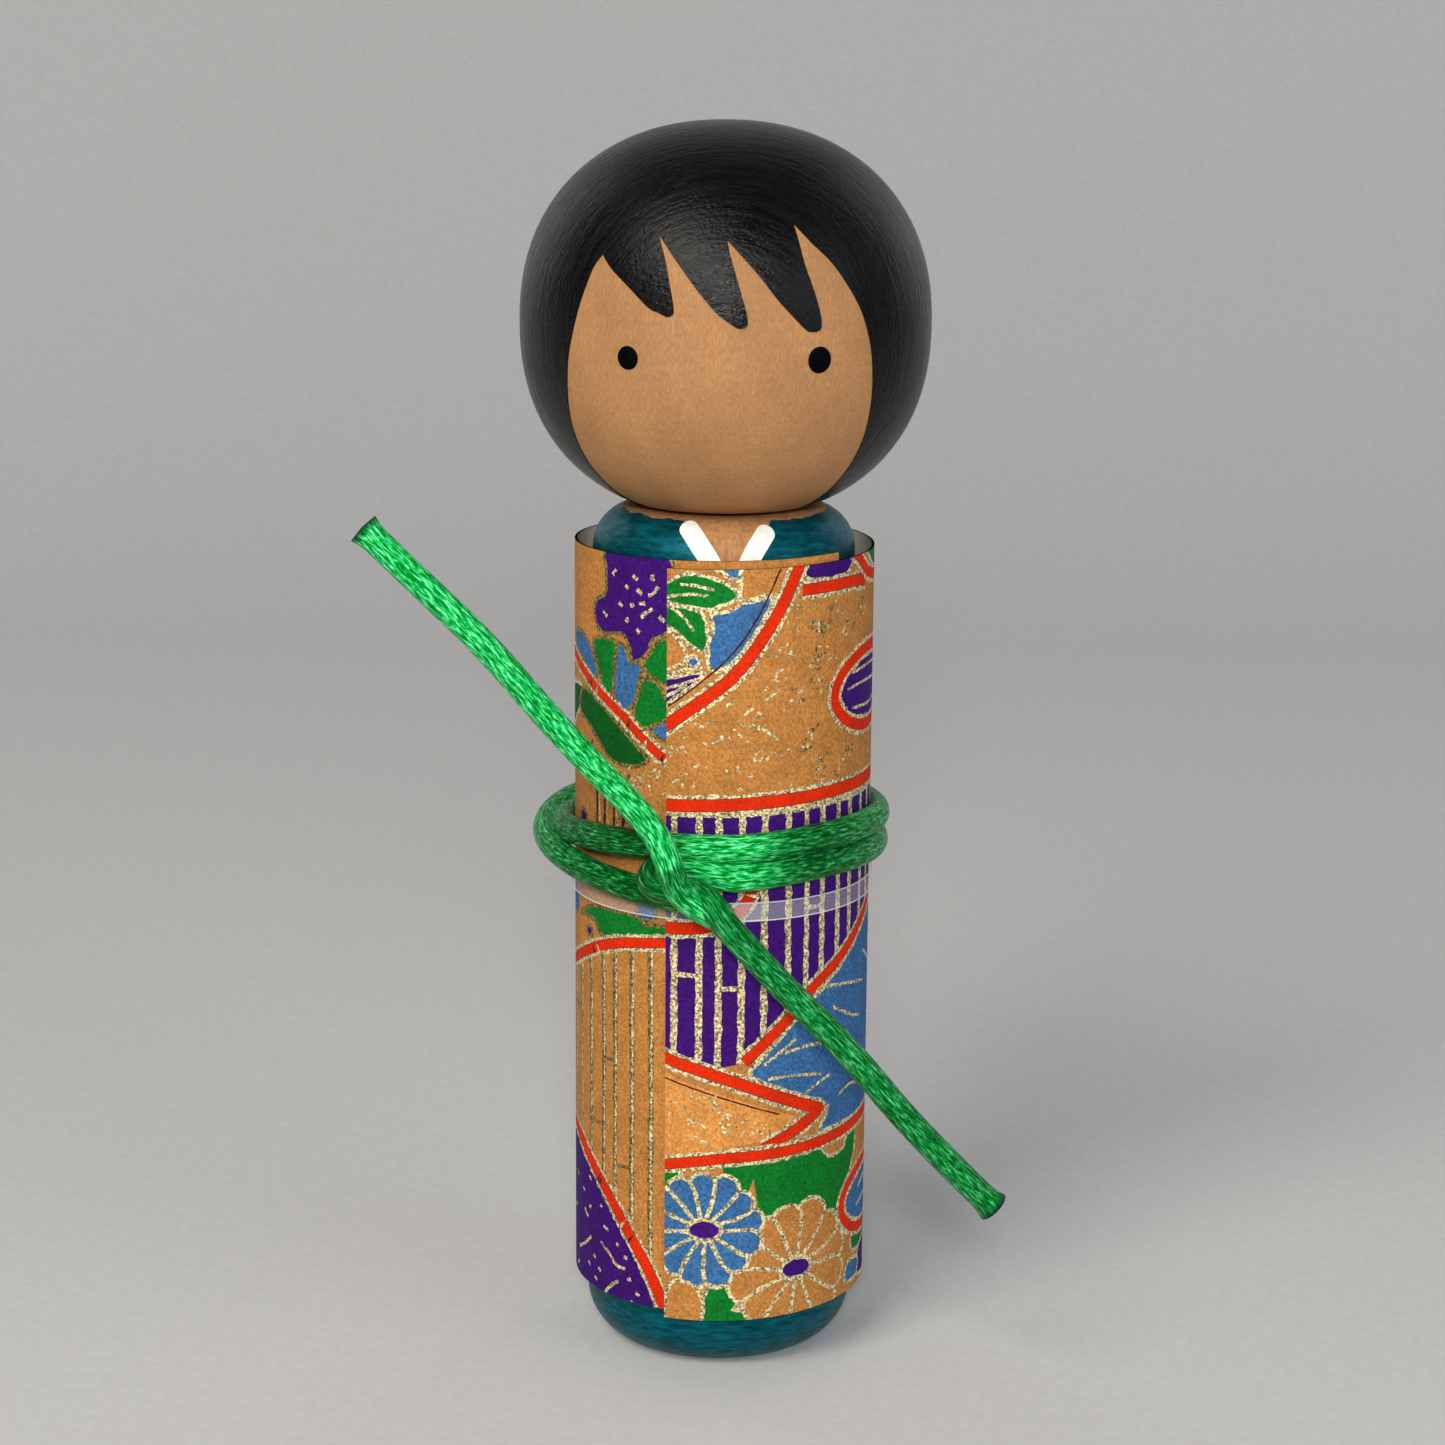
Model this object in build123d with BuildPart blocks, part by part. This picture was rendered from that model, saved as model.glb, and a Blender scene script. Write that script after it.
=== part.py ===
"""Kokeshi doll: a turned wooden body and turning head, wrapped in a printed paper kimono.

The doll stands on the XY plane with its axis on Z, and its face looks along -Y.
All sizes are in millimetres.
"""
from build123d import *
from math import cos, pi, radians, sin, tan
import os

os.makedirs("parts", exist_ok=True)

# --- driving dimensions -------------------------------------------------------------------
total_height = 105.0

# turned body
body_base_radius = 11.5
body_shoulder_radius = 11.0
base_edge_radius = 4.1
shoulder_edge_radius = 3.6
body_height = 73.35

# turned head, a slightly squared ball on a flat seat
head_radius = 17.0
head_equator_height = 88.7
head_seat_radius = 7.4
head_gap = 0.25
crown_squareness = 2.2
jaw_squareness = 2.28
seat_edge_chamfer = 0.25

# dowel that holds the head
dowel_radius = 3.0
dowel_in_body = 12.0
dowel_in_head = 13.0
dowel_end_chamfer = 0.5
bore_end_space = 0.6
running_clearance = 0.05

# paper kimono: one sheet rolled a full turn and an overlap
paper_thickness = 0.2
sheet_height = 64.65
sheet_outer_radius = 12.75
sheet_corner_height = 5.25
sheet_free_edge_angle = -21.0
sheet_overlap_angle = 70.0
sheet_layer_step = 0.24
sheet_rise_per_turn = 0.65
sheet_points_per_turn = 16

# foam tape between the body and the sheet, at the back
tape_angle = 46.0
tape_outer_radius = 12.39
tape_height = 50.0
tape_bottom = 12.0

# clear film strip round the waist
film_thickness = 0.1
film_height = 1.6
film_bottom = 40.5
film_free_end_angle = 5.0
film_overlap_angle = 12.0
film_layer_step = 0.13
film_clearance = 0.01
film_points_per_turn = 16

# satin cord, two turns round the waist and a half knot at the front
cord_diameter = 2.3
winding_bottom = 42.4
winding_height = 5.3
winding_inner_radius = 12.85
winding_outer_radius = 15.3
winding_edge_radius = 1.1
knot_width = 7.4
knot_depth = 2.6
knot_height = 7.6
knot_edge_radius = 0.9
knot_centre = (-2.6, -16.65, 44.1)

# routes of the cord's two free tails, from the knot to their cut ends
upper_tail_route = [
    (-4.2, -16.6, 47.2),
    (-7.0, -16.7, 51.2),
    (-12.9, -17.2, 57.4),
    (-19.0, -17.4, 64.7),
    (-24.0, -17.0, 69.4),
    (-28.6, -16.3, 73.7),
]
lower_tail_route = [
    (-0.9, -16.4, 41.1),
    (5.2, -16.6, 35.9),
    (10.4, -16.9, 31.0),
    (16.4, -16.7, 23.5),
    (22.8, -16.0, 17.0),
]

head_seat_height = body_height + head_gap


def superellipse(width, height, power, steps):
    """Points of a quarter superellipse, from its widest point to its end on the axis."""
    points = []
    for step in range(steps + 1):
        angle = step / steps * pi / 2
        across = width * max(cos(angle), 0.0) ** (2 / power)
        along = height * sin(angle) ** (2 / power)
        points.append((across, along))
    return points


def round_axis(radius, angle, height):
    """A point at a radius and height, its angle counted from the front towards +X."""
    turn = radians(angle)
    return (radius * sin(turn), -radius * cos(turn), height)


def rolled_path(radius, start, sweep_angle, step_in, height, rise, points_per_turn):
    """Points of a strip rolled round the axis, each turn step_in smaller and rise higher."""
    count = round(sweep_angle / 360 * points_per_turn)
    points = []
    for index in range(count + 1):
        turned = sweep_angle * index / count
        share = turned / 360
        points.append(round_axis(radius - step_in * share, start + turned, height + rise * share))
    return points


def corner_radii(points):
    """The largest arc that each corner of a cord's route has room for."""
    radii = []
    for before, corner, after in zip(points, points[1:], points[2:]):
        first = Vector(*corner) - Vector(*before)
        second = Vector(*after) - Vector(*corner)
        half_turn = radians(first.get_angle(second)) / 2
        radii.append(0.45 * min(first.length, second.length) / tan(half_turn))
    return radii


# --- body ---------------------------------------------------------------------------------
with BuildPart() as body:
    with BuildSketch(Plane.XZ):
        with BuildLine():
            Polyline(
                (0, 0),
                (body_base_radius, 0),
                (body_shoulder_radius, body_height),
                (0, body_height),
                close=True,
            )
        make_face()
        fillet(vertices().sort_by(Axis.X)[-1], base_edge_radius)
        fillet(vertices().group_by(Axis.Y)[-1].sort_by(Axis.X)[-1], shoulder_edge_radius)
    revolve(axis=Axis.Z)
    with Locations((0, 0, body_height)):
        Hole(dowel_radius, depth=dowel_in_body + bore_end_space)
body.part.label = "body"
export_step(body.part, "parts/body.step")

# --- head ---------------------------------------------------------------------------------
crown_height = total_height - head_equator_height
seat_drop = head_equator_height - head_seat_height
jaw_share = (1 - (head_seat_radius / head_radius) ** jaw_squareness) ** (1 / jaw_squareness)
jaw_depth = seat_drop / jaw_share

crown_line = superellipse(head_radius, crown_height, crown_squareness, 10)
crown_points = [(across, head_equator_height + along) for across, along in crown_line]
jaw_line = superellipse(head_radius, jaw_depth, jaw_squareness, 12)
jaw_points = [
    (across, head_equator_height - along) for across, along in jaw_line if along < seat_drop - 0.5
]
jaw_points.append((head_seat_radius, head_seat_height))

with BuildPart() as head:
    with BuildSketch(Plane.XZ):
        with BuildLine():
            Spline(crown_points, tangents=[(0, 1), (-1, 0)])
            Spline(jaw_points)
            Line((head_seat_radius, head_seat_height), (0, head_seat_height))
            Line((0, head_seat_height), (0, total_height))
        make_face()
    revolve(axis=Axis.Z)
    seat_edge = edges().filter_by(GeomType.CIRCLE).sort_by(Axis.Z)[0]
    chamfer(seat_edge, seat_edge_chamfer)
    with Locations(Location((0, 0, head_seat_height), (180, 0, 0))):
        Hole(dowel_radius + running_clearance, depth=dowel_in_head + bore_end_space)
head.part.label = "head"
export_step(head.part, "parts/head.step")

# --- dowel --------------------------------------------------------------------------------
dowel_bottom = body_height - dowel_in_body
dowel_top = head_seat_height + dowel_in_head
with BuildPart() as neck_dowel:
    with BuildSketch(Plane.XY.offset(dowel_bottom)):
        Circle(dowel_radius)
    extrude(amount=dowel_top - dowel_bottom)
    chamfer(edges().filter_by(GeomType.CIRCLE), dowel_end_chamfer)
neck_dowel.part.label = "neck_dowel"
export_step(neck_dowel.part, "parts/neck_dowel.step")

# --- paper kimono -------------------------------------------------------------------------
sheet_middle_radius = sheet_outer_radius - paper_thickness / 2
sheet_path_points = rolled_path(
    sheet_middle_radius,
    sheet_free_edge_angle,
    360 + sheet_overlap_angle,
    sheet_layer_step,
    sheet_corner_height + sheet_height / 2,
    sheet_rise_per_turn,
    sheet_points_per_turn,
)
with BuildPart() as kimono_wrap:
    with BuildLine():
        sheet_line = Spline(sheet_path_points)
    with BuildSketch(Plane(origin=sheet_line @ 0, x_dir=(0, 0, 1), z_dir=sheet_line % 0)):
        Rectangle(sheet_height, paper_thickness)
    sweep(path=sheet_line, binormal=sheet_line.moved(Location((0, 0, sheet_height))))
kimono_wrap.part.label = "kimono_wrap"
export_step(kimono_wrap.part, "parts/kimono_wrap.step")

# --- foam tape ----------------------------------------------------------------------------
with BuildPart() as kimono_tape:
    with BuildSketch(Plane.XY.offset(tape_bottom)):
        with BuildLine():
            tape_start = 90 - tape_angle / 2
            CenterArc((0, 0), tape_outer_radius, tape_start, tape_angle)
            CenterArc((0, 0), body_shoulder_radius / 2, tape_start, tape_angle)
            for tape_end in (tape_start, tape_start + tape_angle):
                Line(
                    Vector(body_shoulder_radius / 2, 0).rotate(Axis.Z, tape_end),
                    Vector(tape_outer_radius, 0).rotate(Axis.Z, tape_end),
                )
        make_face()
    extrude(amount=tape_height)
    add(body.part, mode=Mode.SUBTRACT)
    add(kimono_tape.solids().sort_by(Axis.Y)[-1], mode=Mode.REPLACE)
kimono_tape.part.label = "kimono_tape"
export_step(kimono_tape.part, "parts/kimono_tape.step")

# --- clear film strip ---------------------------------------------------------------------
film_middle_radius = sheet_outer_radius + film_clearance + film_thickness / 2 + film_layer_step
film_path_points = rolled_path(
    film_middle_radius,
    film_free_end_angle,
    360 + film_overlap_angle,
    film_layer_step,
    film_bottom + film_height / 2,
    0,
    film_points_per_turn,
)
with BuildPart() as waist_film:
    with BuildLine():
        film_line = Spline(film_path_points)
    with BuildSketch(Plane(origin=film_line @ 0, x_dir=(0, 0, 1), z_dir=film_line % 0)):
        Rectangle(film_height, film_thickness)
    sweep(path=film_line, binormal=film_line.moved(Location((0, 0, film_height))))
waist_film.part.label = "waist_film"
export_step(waist_film.part, "parts/waist_film.step")

# --- cord: winding and knot ---------------------------------------------------------------
with BuildPart() as obi_cord_winding:
    with BuildSketch(Plane.XZ):
        with Locations((winding_inner_radius, winding_bottom)):
            Rectangle(
                winding_outer_radius - winding_inner_radius,
                winding_height,
                align=(Align.MIN, Align.MIN),
            )
        fillet(vertices(), winding_edge_radius)
    revolve(axis=Axis.Z)
obi_cord_winding.part.label = "obi_cord_winding"
export_step(obi_cord_winding.part, "parts/obi_cord_winding.step")

with BuildPart() as obi_cord_knot:
    with Locations(knot_centre):
        Box(knot_width, knot_depth, knot_height)
    fillet(edges(), knot_edge_radius)
obi_cord_knot.part.label = "obi_cord_knot"
export_step(obi_cord_knot.part, "parts/obi_cord_knot.step")


# --- cord: free tails ---------------------------------------------------------------------
def cord_tail(name, route):
    """A plain tube along a route, written to its own file; prints its bend radii."""
    radii = corner_radii(route)
    with BuildPart() as tail:
        with BuildLine():
            line = FilletPolyline(*route, radius=radii)
        with BuildSketch(Plane(origin=line @ 0, z_dir=line % 0)):
            Circle(cord_diameter / 2)
        sweep(path=line)
    tail.part.label = name
    export_step(tail.part, f"parts/{name}.step")
    expected_volume = pi * cord_diameter**2 / 4 * line.length
    print(name, "length", round(line.length, 1), "bend radii", [round(r, 1) for r in radii])
    print(name, "volume", round(tail.part.volume, 2), "section x length", round(expected_volume, 2))
    return tail


obi_cord_tail_upper = cord_tail("obi_cord_tail_upper", upper_tail_route)
obi_cord_tail_lower = cord_tail("obi_cord_tail_lower", lower_tail_route)
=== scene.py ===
"""Looks of a kokeshi doll: painted turned wood, a printed paper kimono and a satin cord sash.

The doll stands on Z = 0, its axis is Z and its face looks along -Y. Blender's lengths are metres,
and the doll's own sizes below are millimetres, turned to metres by MM.
"""

from math import atan2, ceil, cos, degrees, hypot, pi, radians, sin, tau
from random import Random

import bpy
from mathutils import Matrix, Vector
from mathutils.geometry import delaunay_2d_cdt


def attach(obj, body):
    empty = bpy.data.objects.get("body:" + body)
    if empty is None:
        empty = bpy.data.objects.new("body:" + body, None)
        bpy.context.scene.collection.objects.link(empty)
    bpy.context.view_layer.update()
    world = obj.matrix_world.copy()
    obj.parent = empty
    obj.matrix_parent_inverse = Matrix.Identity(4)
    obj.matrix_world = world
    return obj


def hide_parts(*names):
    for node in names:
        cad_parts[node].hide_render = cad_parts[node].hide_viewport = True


bl_info = {
    "name": "Kokeshi doll workshop",
    "version": (1, 0, 0),
    "blender": (4, 5, 0),
    "location": "3D View > Sidebar > Doll",
    "description": "Paints and dresses a turned wooden doll: hair, face, collar, paper kimono and cord",
    "category": "Object",
}

MM = 0.001
WHITE = (1.0, 1.0, 1.0, 1.0)
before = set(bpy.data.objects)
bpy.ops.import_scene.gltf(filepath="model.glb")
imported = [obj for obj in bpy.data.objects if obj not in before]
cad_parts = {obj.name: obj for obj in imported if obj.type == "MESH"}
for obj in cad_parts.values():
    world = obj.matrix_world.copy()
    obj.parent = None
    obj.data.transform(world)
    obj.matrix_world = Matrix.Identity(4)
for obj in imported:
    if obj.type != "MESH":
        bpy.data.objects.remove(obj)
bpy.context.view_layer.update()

# --- the doll's own sizes, in millimetres ---------------------------------------------------
HEAD_RADIUS = 17.0
HEAD_CENTRE = 88.7
CROWN_HEIGHT = 16.3
CROWN_SQUARENESS = 2.2
JAW_DEPTH = 16.2
JAW_SQUARENESS = 2.28
SEAT_POLAR = 153.4

SHOULDER_RADIUS = 11.02
SHOULDER_TOP = 73.35
SHOULDER_EDGE = 3.6

# the bare wood at the neck: a ragged ring, and an opening at the front with two slanting edges
BARE_RADIUS = 8.6
BARE_WANDER = 1.2
BARE_LOWEST = 60.0
OPENING_TOP = 72.5
OPENING_LEFT = -2.8
OPENING_LEFT_SLOPE = 0.80
OPENING_RIGHT = 3.4
OPENING_RIGHT_SLOPE = 0.63

# streaks of the hair paint: steps per metre along the brush lines, against 1000 across them
ALONG_STREAKS = 90.0

# height of the clear film's middle, and from there to its whiter cut edges, where light caught by the edges
# is painted
FILM_MIDDLE = 41.3
FILM_PAINTED_EDGE = 0.72

SHEET_LEFT = -4.7
SHEET_RIGHT = 89.8
SHEET_LENGTH = SHEET_RIGHT - SHEET_LEFT
SHEET_HEIGHT = 64.65
SHEET_START_ANGLE = -21.0
SHEET_TURNED = 430.0
SHEET_MIDDLE_RADIUS = 12.65
SHEET_STEP_IN = 0.24
SHEET_BOTTOM = 5.25
SHEET_RISE = 0.65
PAPER_THICKNESS = 0.2
# from the front centre line to the same place one turn further along the sheet, which rises by the way
SIDE_SHIFT = (79.2, -0.5)


# --- properties -----------------------------------------------------------------------------
def linear(hex_colour):
    """Linear RGBA of an sRGB hex colour such as 'C0854A'."""
    shares = [int(hex_colour[i : i + 2], 16) / 255 for i in (0, 2, 4)]
    return tuple(s / 12.92 if s <= 0.04045 else ((s + 0.055) / 1.055) ** 2.4 for s in shares) + (1.0,)


def colour_property(name, description, hex_colour):
    """A colour that a user may change, with its default from an sRGB hex value."""
    return bpy.props.FloatVectorProperty(
        name=name,
        description=description,
        subtype="COLOR",
        size=4,
        min=0.0,
        max=1.0,
        default=linear(hex_colour),
    )


def length_property(name, description, millimetres):
    """A length that a user may change, kept in metres."""
    return bpy.props.FloatProperty(
        name=name,
        description=description,
        default=millimetres * MM,
        min=0.0,
        precision=5,
        subtype="DISTANCE",
        unit="LENGTH",
    )


class DollSizes(bpy.types.PropertyGroup):
    hair_lift: length_property("Hair paint", "Thickness of the black hair paint", 0.08)
    eye_width: length_property("Eye width", "Width of a painted eye", 1.9)
    eye_height: length_property("Eye height", "Height of a painted eye", 2.0)
    collar_width: length_property("Collar stroke", "Width of a white collar stroke", 1.6)
    cord_diameter: length_property("Cord", "Diameter of the satin cord", 2.3)
    gold_width: length_property("Gold line", "Width of the print's gold outlines", 0.36)


class DollColours(bpy.types.PropertyGroup):
    hair: colour_property("Hair", "Black hair paint", "0B0A0B")
    wood: colour_property("Wood", "Bare turned wood", "AE7F53")
    robe: colour_property("Robe", "Metallic teal body paint", "005662")
    collar: colour_property("Collar", "White collar paint", "F2F2EC")
    paper: colour_property("Paper", "Tan ground of the print", "B87C3E")
    purple: colour_property("Purple ink", "Purple of the print", "3A0D6C")
    green: colour_property("Green ink", "Green of the print", "067224")
    blue: colour_property("Blue ink", "Blue of the print", "38689A")
    red: colour_property("Red ink", "Red of the print", "D82A03")
    gold: colour_property("Gold ink", "Metallic gold of the print", "D9C796")
    cord: colour_property("Cord", "Green satin of the cord", "04983C")


# --- material helpers -----------------------------------------------------------------------
def node(tree, kind, inputs=None, **settings):
    """Adds a shader node. inputs holds values, or the sockets that feed them."""
    made = tree.nodes.new("ShaderNode" + kind)
    for name, value in settings.items():
        setattr(made, name, value)
    for name, value in (inputs or {}).items():
        if isinstance(value, bpy.types.NodeSocket):
            tree.links.new(value, made.inputs[name])
        else:
            made.inputs[name].default_value = value
    return made


def start_material(name, **surface):
    """A new material with its principled surface, and the tree to add to."""
    material = bpy.data.materials.new(name)
    material.use_nodes = True
    tree = material.node_tree
    shader = tree.nodes["Principled BSDF"]
    for socket, value in surface.items():
        shader.inputs[socket.replace("_", " ")].default_value = value
    return material, tree, shader


def noise(tree, scale, detail, rough=0.5, stretch=(1, 1, 1), place=None):
    """Noise over the object's own coordinates, stretched, or over another place."""
    if place is None:
        own = node(tree, "TexCoord").outputs["Object"]
        place = node(tree, "Mapping", {"Vector": own, "Scale": stretch}).outputs["Vector"]
    inputs = {"Vector": place, "Scale": scale, "Detail": detail, "Roughness": rough}
    return node(tree, "TexNoise", inputs).outputs["Fac"]


def own_place(tree):
    """X, Y and Z of the object's own coordinates."""
    return tuple(node(tree, "SeparateXYZ", {"Vector": node(tree, "TexCoord").outputs["Object"]}).outputs)


def ramp(tree, share, stops):
    """The colour that a colour ramp gives, each of its stops a place and an RGBA colour."""
    made = node(tree, "ValToRGB", {"Fac": share})
    elements = made.color_ramp.elements
    for _ in stops[2:]:
        elements.new(0.5)
    for element, (place, colour) in zip(elements, stops):
        element.position = place
        element.color = colour
    return made.outputs["Color"]


def shade(colour, factor):
    """A colour made darker or lighter by a factor."""
    return tuple(min(1.0, part * factor) for part in colour[:3]) + (1.0,)


def shades(tree, share, colour, *stops):
    """A ramp through shades of one colour, each stop a place and a factor."""
    return ramp(tree, share, [(place, shade(colour, factor)) for place, factor in stops])


def mixed(tree, factor, first, second, blend="MIX"):
    """The colour between two colours or sockets."""
    made = node(tree, "Mix", {0: factor, 6: first, 7: second}, data_type="RGBA", blend_type=blend)
    return made.outputs[2]


def maths(tree, operation, first, second=0.0):
    """The result of one sum on values or sockets."""
    return node(tree, "Math", {0: first, 1: second}, operation=operation).outputs[0]


def dress(tree, shader, tone, relief, strength, depth):
    """Gives a surface its colour, and a relief of a strength and a depth in mm."""
    tree.links.new(tone, shader.inputs["Base Color"])
    bump = node(tree, "Bump", {"Height": relief, "Strength": strength, "Distance": depth * MM})
    tree.links.new(bump.outputs["Normal"], shader.inputs["Normal"])


# --- materials ------------------------------------------------------------------------------
# Noise scales count lumps per metre: a scale of 5000 gives lumps about 0.2 mm across.
def turned_wood(name, colour):
    """Bare turned basswood, sanded: fine fibres, short pale flecks and faint turning lines, dull."""
    material, tree, shader = start_material(name, Roughness=0.6, Specular_IOR_Level=0.14)
    fibres = noise(tree, 6400, 3, 0.7, stretch=(1, 1, 0.4))
    upright_flecks = noise(tree, 3800, 1, stretch=(1, 1, 0.2))
    turning_lines = noise(tree, 2400, 2, stretch=(0.06, 0.06, 1))
    clouds = noise(tree, 260, 3, stretch=(1, 1, 0.5))
    grain = shades(tree, fibres, colour, (0.34, 0.84), (0.5, 1), (0.66, 1.16))
    pale = shades(tree, upright_flecks, WHITE, (0.62, 0), (0.72, 1))
    ringed = shades(tree, turning_lines, WHITE, (0.35, 0.95), (0.6, 1))
    soft = shades(tree, clouds, WHITE, (0.35, 0.88), (0.65, 1))
    tone = mixed(tree, maths(tree, "MULTIPLY", pale, 0.3), grain, shade(colour, 1.4))
    tone = mixed(tree, 1.0, mixed(tree, 1.0, tone, ringed, "MULTIPLY"), soft, "MULTIPLY")
    dress(tree, shader, tone, fibres, 0.15, 0.1)
    return material


def hair_paint(name, colour):
    """Black satin acrylic, brushed round the face: fine streaks in a slightly crinkled skin."""
    material, tree, shader = start_material(name, Roughness=0.4, Specular_IOR_Level=0.2)
    across, depth, up = own_place(tree)
    height = maths(tree, "SUBTRACT", up, HEAD_CENTRE * MM)
    squares = (maths(tree, "MULTIPLY", across, across), maths(tree, "MULTIPLY", height, height))
    from_axis = maths(tree, "SQRT", maths(tree, "ADD", *squares))
    from_face = maths(tree, "ARCTAN2", from_axis, maths(tree, "MULTIPLY", depth, -1.0))
    # the brush lines run round the face: X steps across them, and Y and Z change slowly along them
    parts = {
        "X": maths(tree, "MULTIPLY", from_face, HEAD_RADIUS),
        "Y": maths(tree, "MULTIPLY", across, ALONG_STREAKS),
        "Z": maths(tree, "MULTIPLY", height, ALONG_STREAKS),
    }
    brushed = node(tree, "CombineXYZ", parts).outputs["Vector"]
    streaks = noise(tree, 2.6, 4, 0.65, place=brushed)
    wrinkle = noise(tree, 3400, 2, 0.6)
    relief = maths(tree, "ADD", streaks, maths(tree, "MULTIPLY", wrinkle, 0.8))
    dress(tree, shader, shades(tree, streaks, colour, (0.38, 0.25), (0.7, 1.3)), relief, 0.9, 0.09)
    dullness = shades(tree, streaks, WHITE, (0.35, 0.2), (0.65, 0.38))
    tree.links.new(dullness, shader.inputs["Roughness"])
    return material


def robe_paint(name, colour, wood_colour):
    """Metallic teal acrylic, brushed round the body, with bare wood left at the neck."""
    material, tree, shader = start_material(name, Roughness=0.38, Specular_IOR_Level=0.12)
    streaks = noise(tree, 3400, 3, stretch=(0.22, 0.22, 1))
    paint = shades(tree, streaks, colour, (0.34, 0.5), (0.55, 1), (0.72, 1.5))
    fibres = noise(tree, 2600, 4, stretch=(1, 1, 0.25))
    wood = shades(tree, fibres, wood_colour, (0.3, 0.7), (0.7, 1.2))
    ragged = maths(tree, "SUBTRACT", noise(tree, 700, 2), 0.5)
    wander = maths(tree, "MULTIPLY", ragged, BARE_WANDER * MM)
    place = node(tree, "TexCoord").outputs["Object"]
    level = node(tree, "VectorMath", {0: place, 1: (1, 1, 0)}, operation="MULTIPLY").outputs[0]
    away = node(tree, "VectorMath", {0: level}, operation="LENGTH").outputs["Value"]
    neck = maths(tree, "LESS_THAN", maths(tree, "ADD", away, wander), BARE_RADIUS * MM)
    across, depth, height = own_place(tree)
    top = maths(tree, "GREATER_THAN", height, BARE_LOWEST * MM)
    front = maths(tree, "LESS_THAN", depth, 0.0)
    drop = maths(tree, "SUBTRACT", OPENING_TOP * MM, height)
    left_side = maths(tree, "SUBTRACT", across, maths(tree, "MULTIPLY", drop, OPENING_LEFT_SLOPE))
    right_side = maths(tree, "ADD", across, maths(tree, "MULTIPLY", drop, OPENING_RIGHT_SLOPE))
    in_left = maths(tree, "GREATER_THAN", left_side, OPENING_LEFT * MM)
    in_right = maths(tree, "LESS_THAN", right_side, OPENING_RIGHT * MM)
    opening = maths(tree, "MULTIPLY", maths(tree, "MULTIPLY", in_left, in_right), front)
    bare = maths(tree, "MULTIPLY", maths(tree, "MAXIMUM", neck, opening), top)
    metal = maths(tree, "MULTIPLY", maths(tree, "SUBTRACT", 1.0, bare), 0.45)
    dull = maths(tree, "ADD", maths(tree, "MULTIPLY", bare, 0.2), 0.42)
    tree.links.new(metal, shader.inputs["Metallic"])
    tree.links.new(dull, shader.inputs["Roughness"])
    dress(tree, shader, mixed(tree, bare, paint, wood), streaks, 0.35, 0.1)
    return material


def plain_paint(name, colour, roughness, gloss=0.4):
    """Artist's acrylic laid on thick: even colour with faint brush relief."""
    material, tree, shader = start_material(name, Roughness=roughness, Specular_IOR_Level=gloss)
    marks = noise(tree, 1800, 3)
    dress(tree, shader, shades(tree, marks, colour, (0.3, 0.86), (0.6, 1)), marks, 0.3, 0.1)
    return material


def washi_ink(name, colour, speckle):
    """Ink screened on washi paper: soft fibre mottling, darker and paler specks, nearly matt."""
    material, tree, shader = start_material(name, Roughness=0.68, Specular_IOR_Level=0.1)
    fibres = noise(tree, 4200, 3, 0.7)
    clouds = noise(tree, 500, 2)
    dark, pale = 1 - 1.3 * speckle, 1 + 1.7 * speckle
    tone = shades(tree, fibres, colour, (0.36, dark), (0.5, 1), (0.66, pale))
    soft = shades(tree, clouds, WHITE, (0.35, 0.84), (0.65, 1))
    dress(tree, shader, mixed(tree, 1.0, tone, soft, "MULTIPLY"), fibres, 0.35, 0.12)
    return material


def gold_ink(name, colour):
    """Bronze-powder ink: grains about 0.15 mm across, each facing its own way in the relief, their colour
    running from dark olive to bright: painted shade and painted glints.
    """
    material, tree, shader = start_material(name, Metallic=0.3, Roughness=0.45)
    own = node(tree, "TexCoord").outputs["Object"]
    grains = node(tree, "TexVoronoi", {"Vector": own, "Scale": 5600}).outputs["Distance"]
    painted_glints = noise(tree, 4300, 2)
    # painted glints and painted shade: the grains' tone runs from dark olive to bright
    tone = shades(tree, painted_glints, colour, (0.34, 0.16), (0.44, 0.46), (0.54, 1), (0.66, 1.5))
    dress(tree, shader, tone, grains, 0.6, 0.12)
    return material


def satin_cord(name, colour):
    """Woven rayon satin cord: fine floats along the cord with dark gaps between. Its colours paint the
    light: the brightest stops are painted glints, and a painted light share mixes a lit and a shaded set of
    colours.
    """
    material, tree, shader = start_material(
        name, Roughness=0.34, Specular_IOR_Level=0.28, Specular_Tint=linear("38F07C")
    )
    # across and along the cord in mm, so that a float is 0.15 mm wide and 0.7 mm long
    lay = node(tree, "Attribute", attribute_name="lay").outputs["Vector"]
    squashed = node(tree, "Mapping", {"Vector": lay, "Scale": (1, 1, 0.2)}).outputs["Vector"]
    weave = noise(tree, 5.6, 3, 0.6, place=squashed)
    # the weave's colours, lit and shaded: painted light and shade, their brightest stops painted glints
    lit = [(0.36, linear("006E1E")), (0.45, colour), (0.53, linear("22CC62")), (0.63, linear("7CFFB0"))]
    dark = ((0.42, "001E02"), (0.57, "004A0A"), (0.66, "128A38"), (0.74, "6FE89A"))
    dark = [(place, linear(tint)) for place, tint in dark]
    # the painted light share mixes the shaded colours into the lit ones
    share = node(tree, "Attribute", attribute_name="painted_light").outputs["Fac"]
    ends = node(tree, "Attribute", attribute_name="singed").outputs["Fac"]
    shown = mixed(tree, share, ramp(tree, weave, dark), ramp(tree, weave, lit))
    dress(tree, shader, mixed(tree, ends, shown, linear("06351A")), weave, 0.9, 0.3)
    return material


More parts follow.
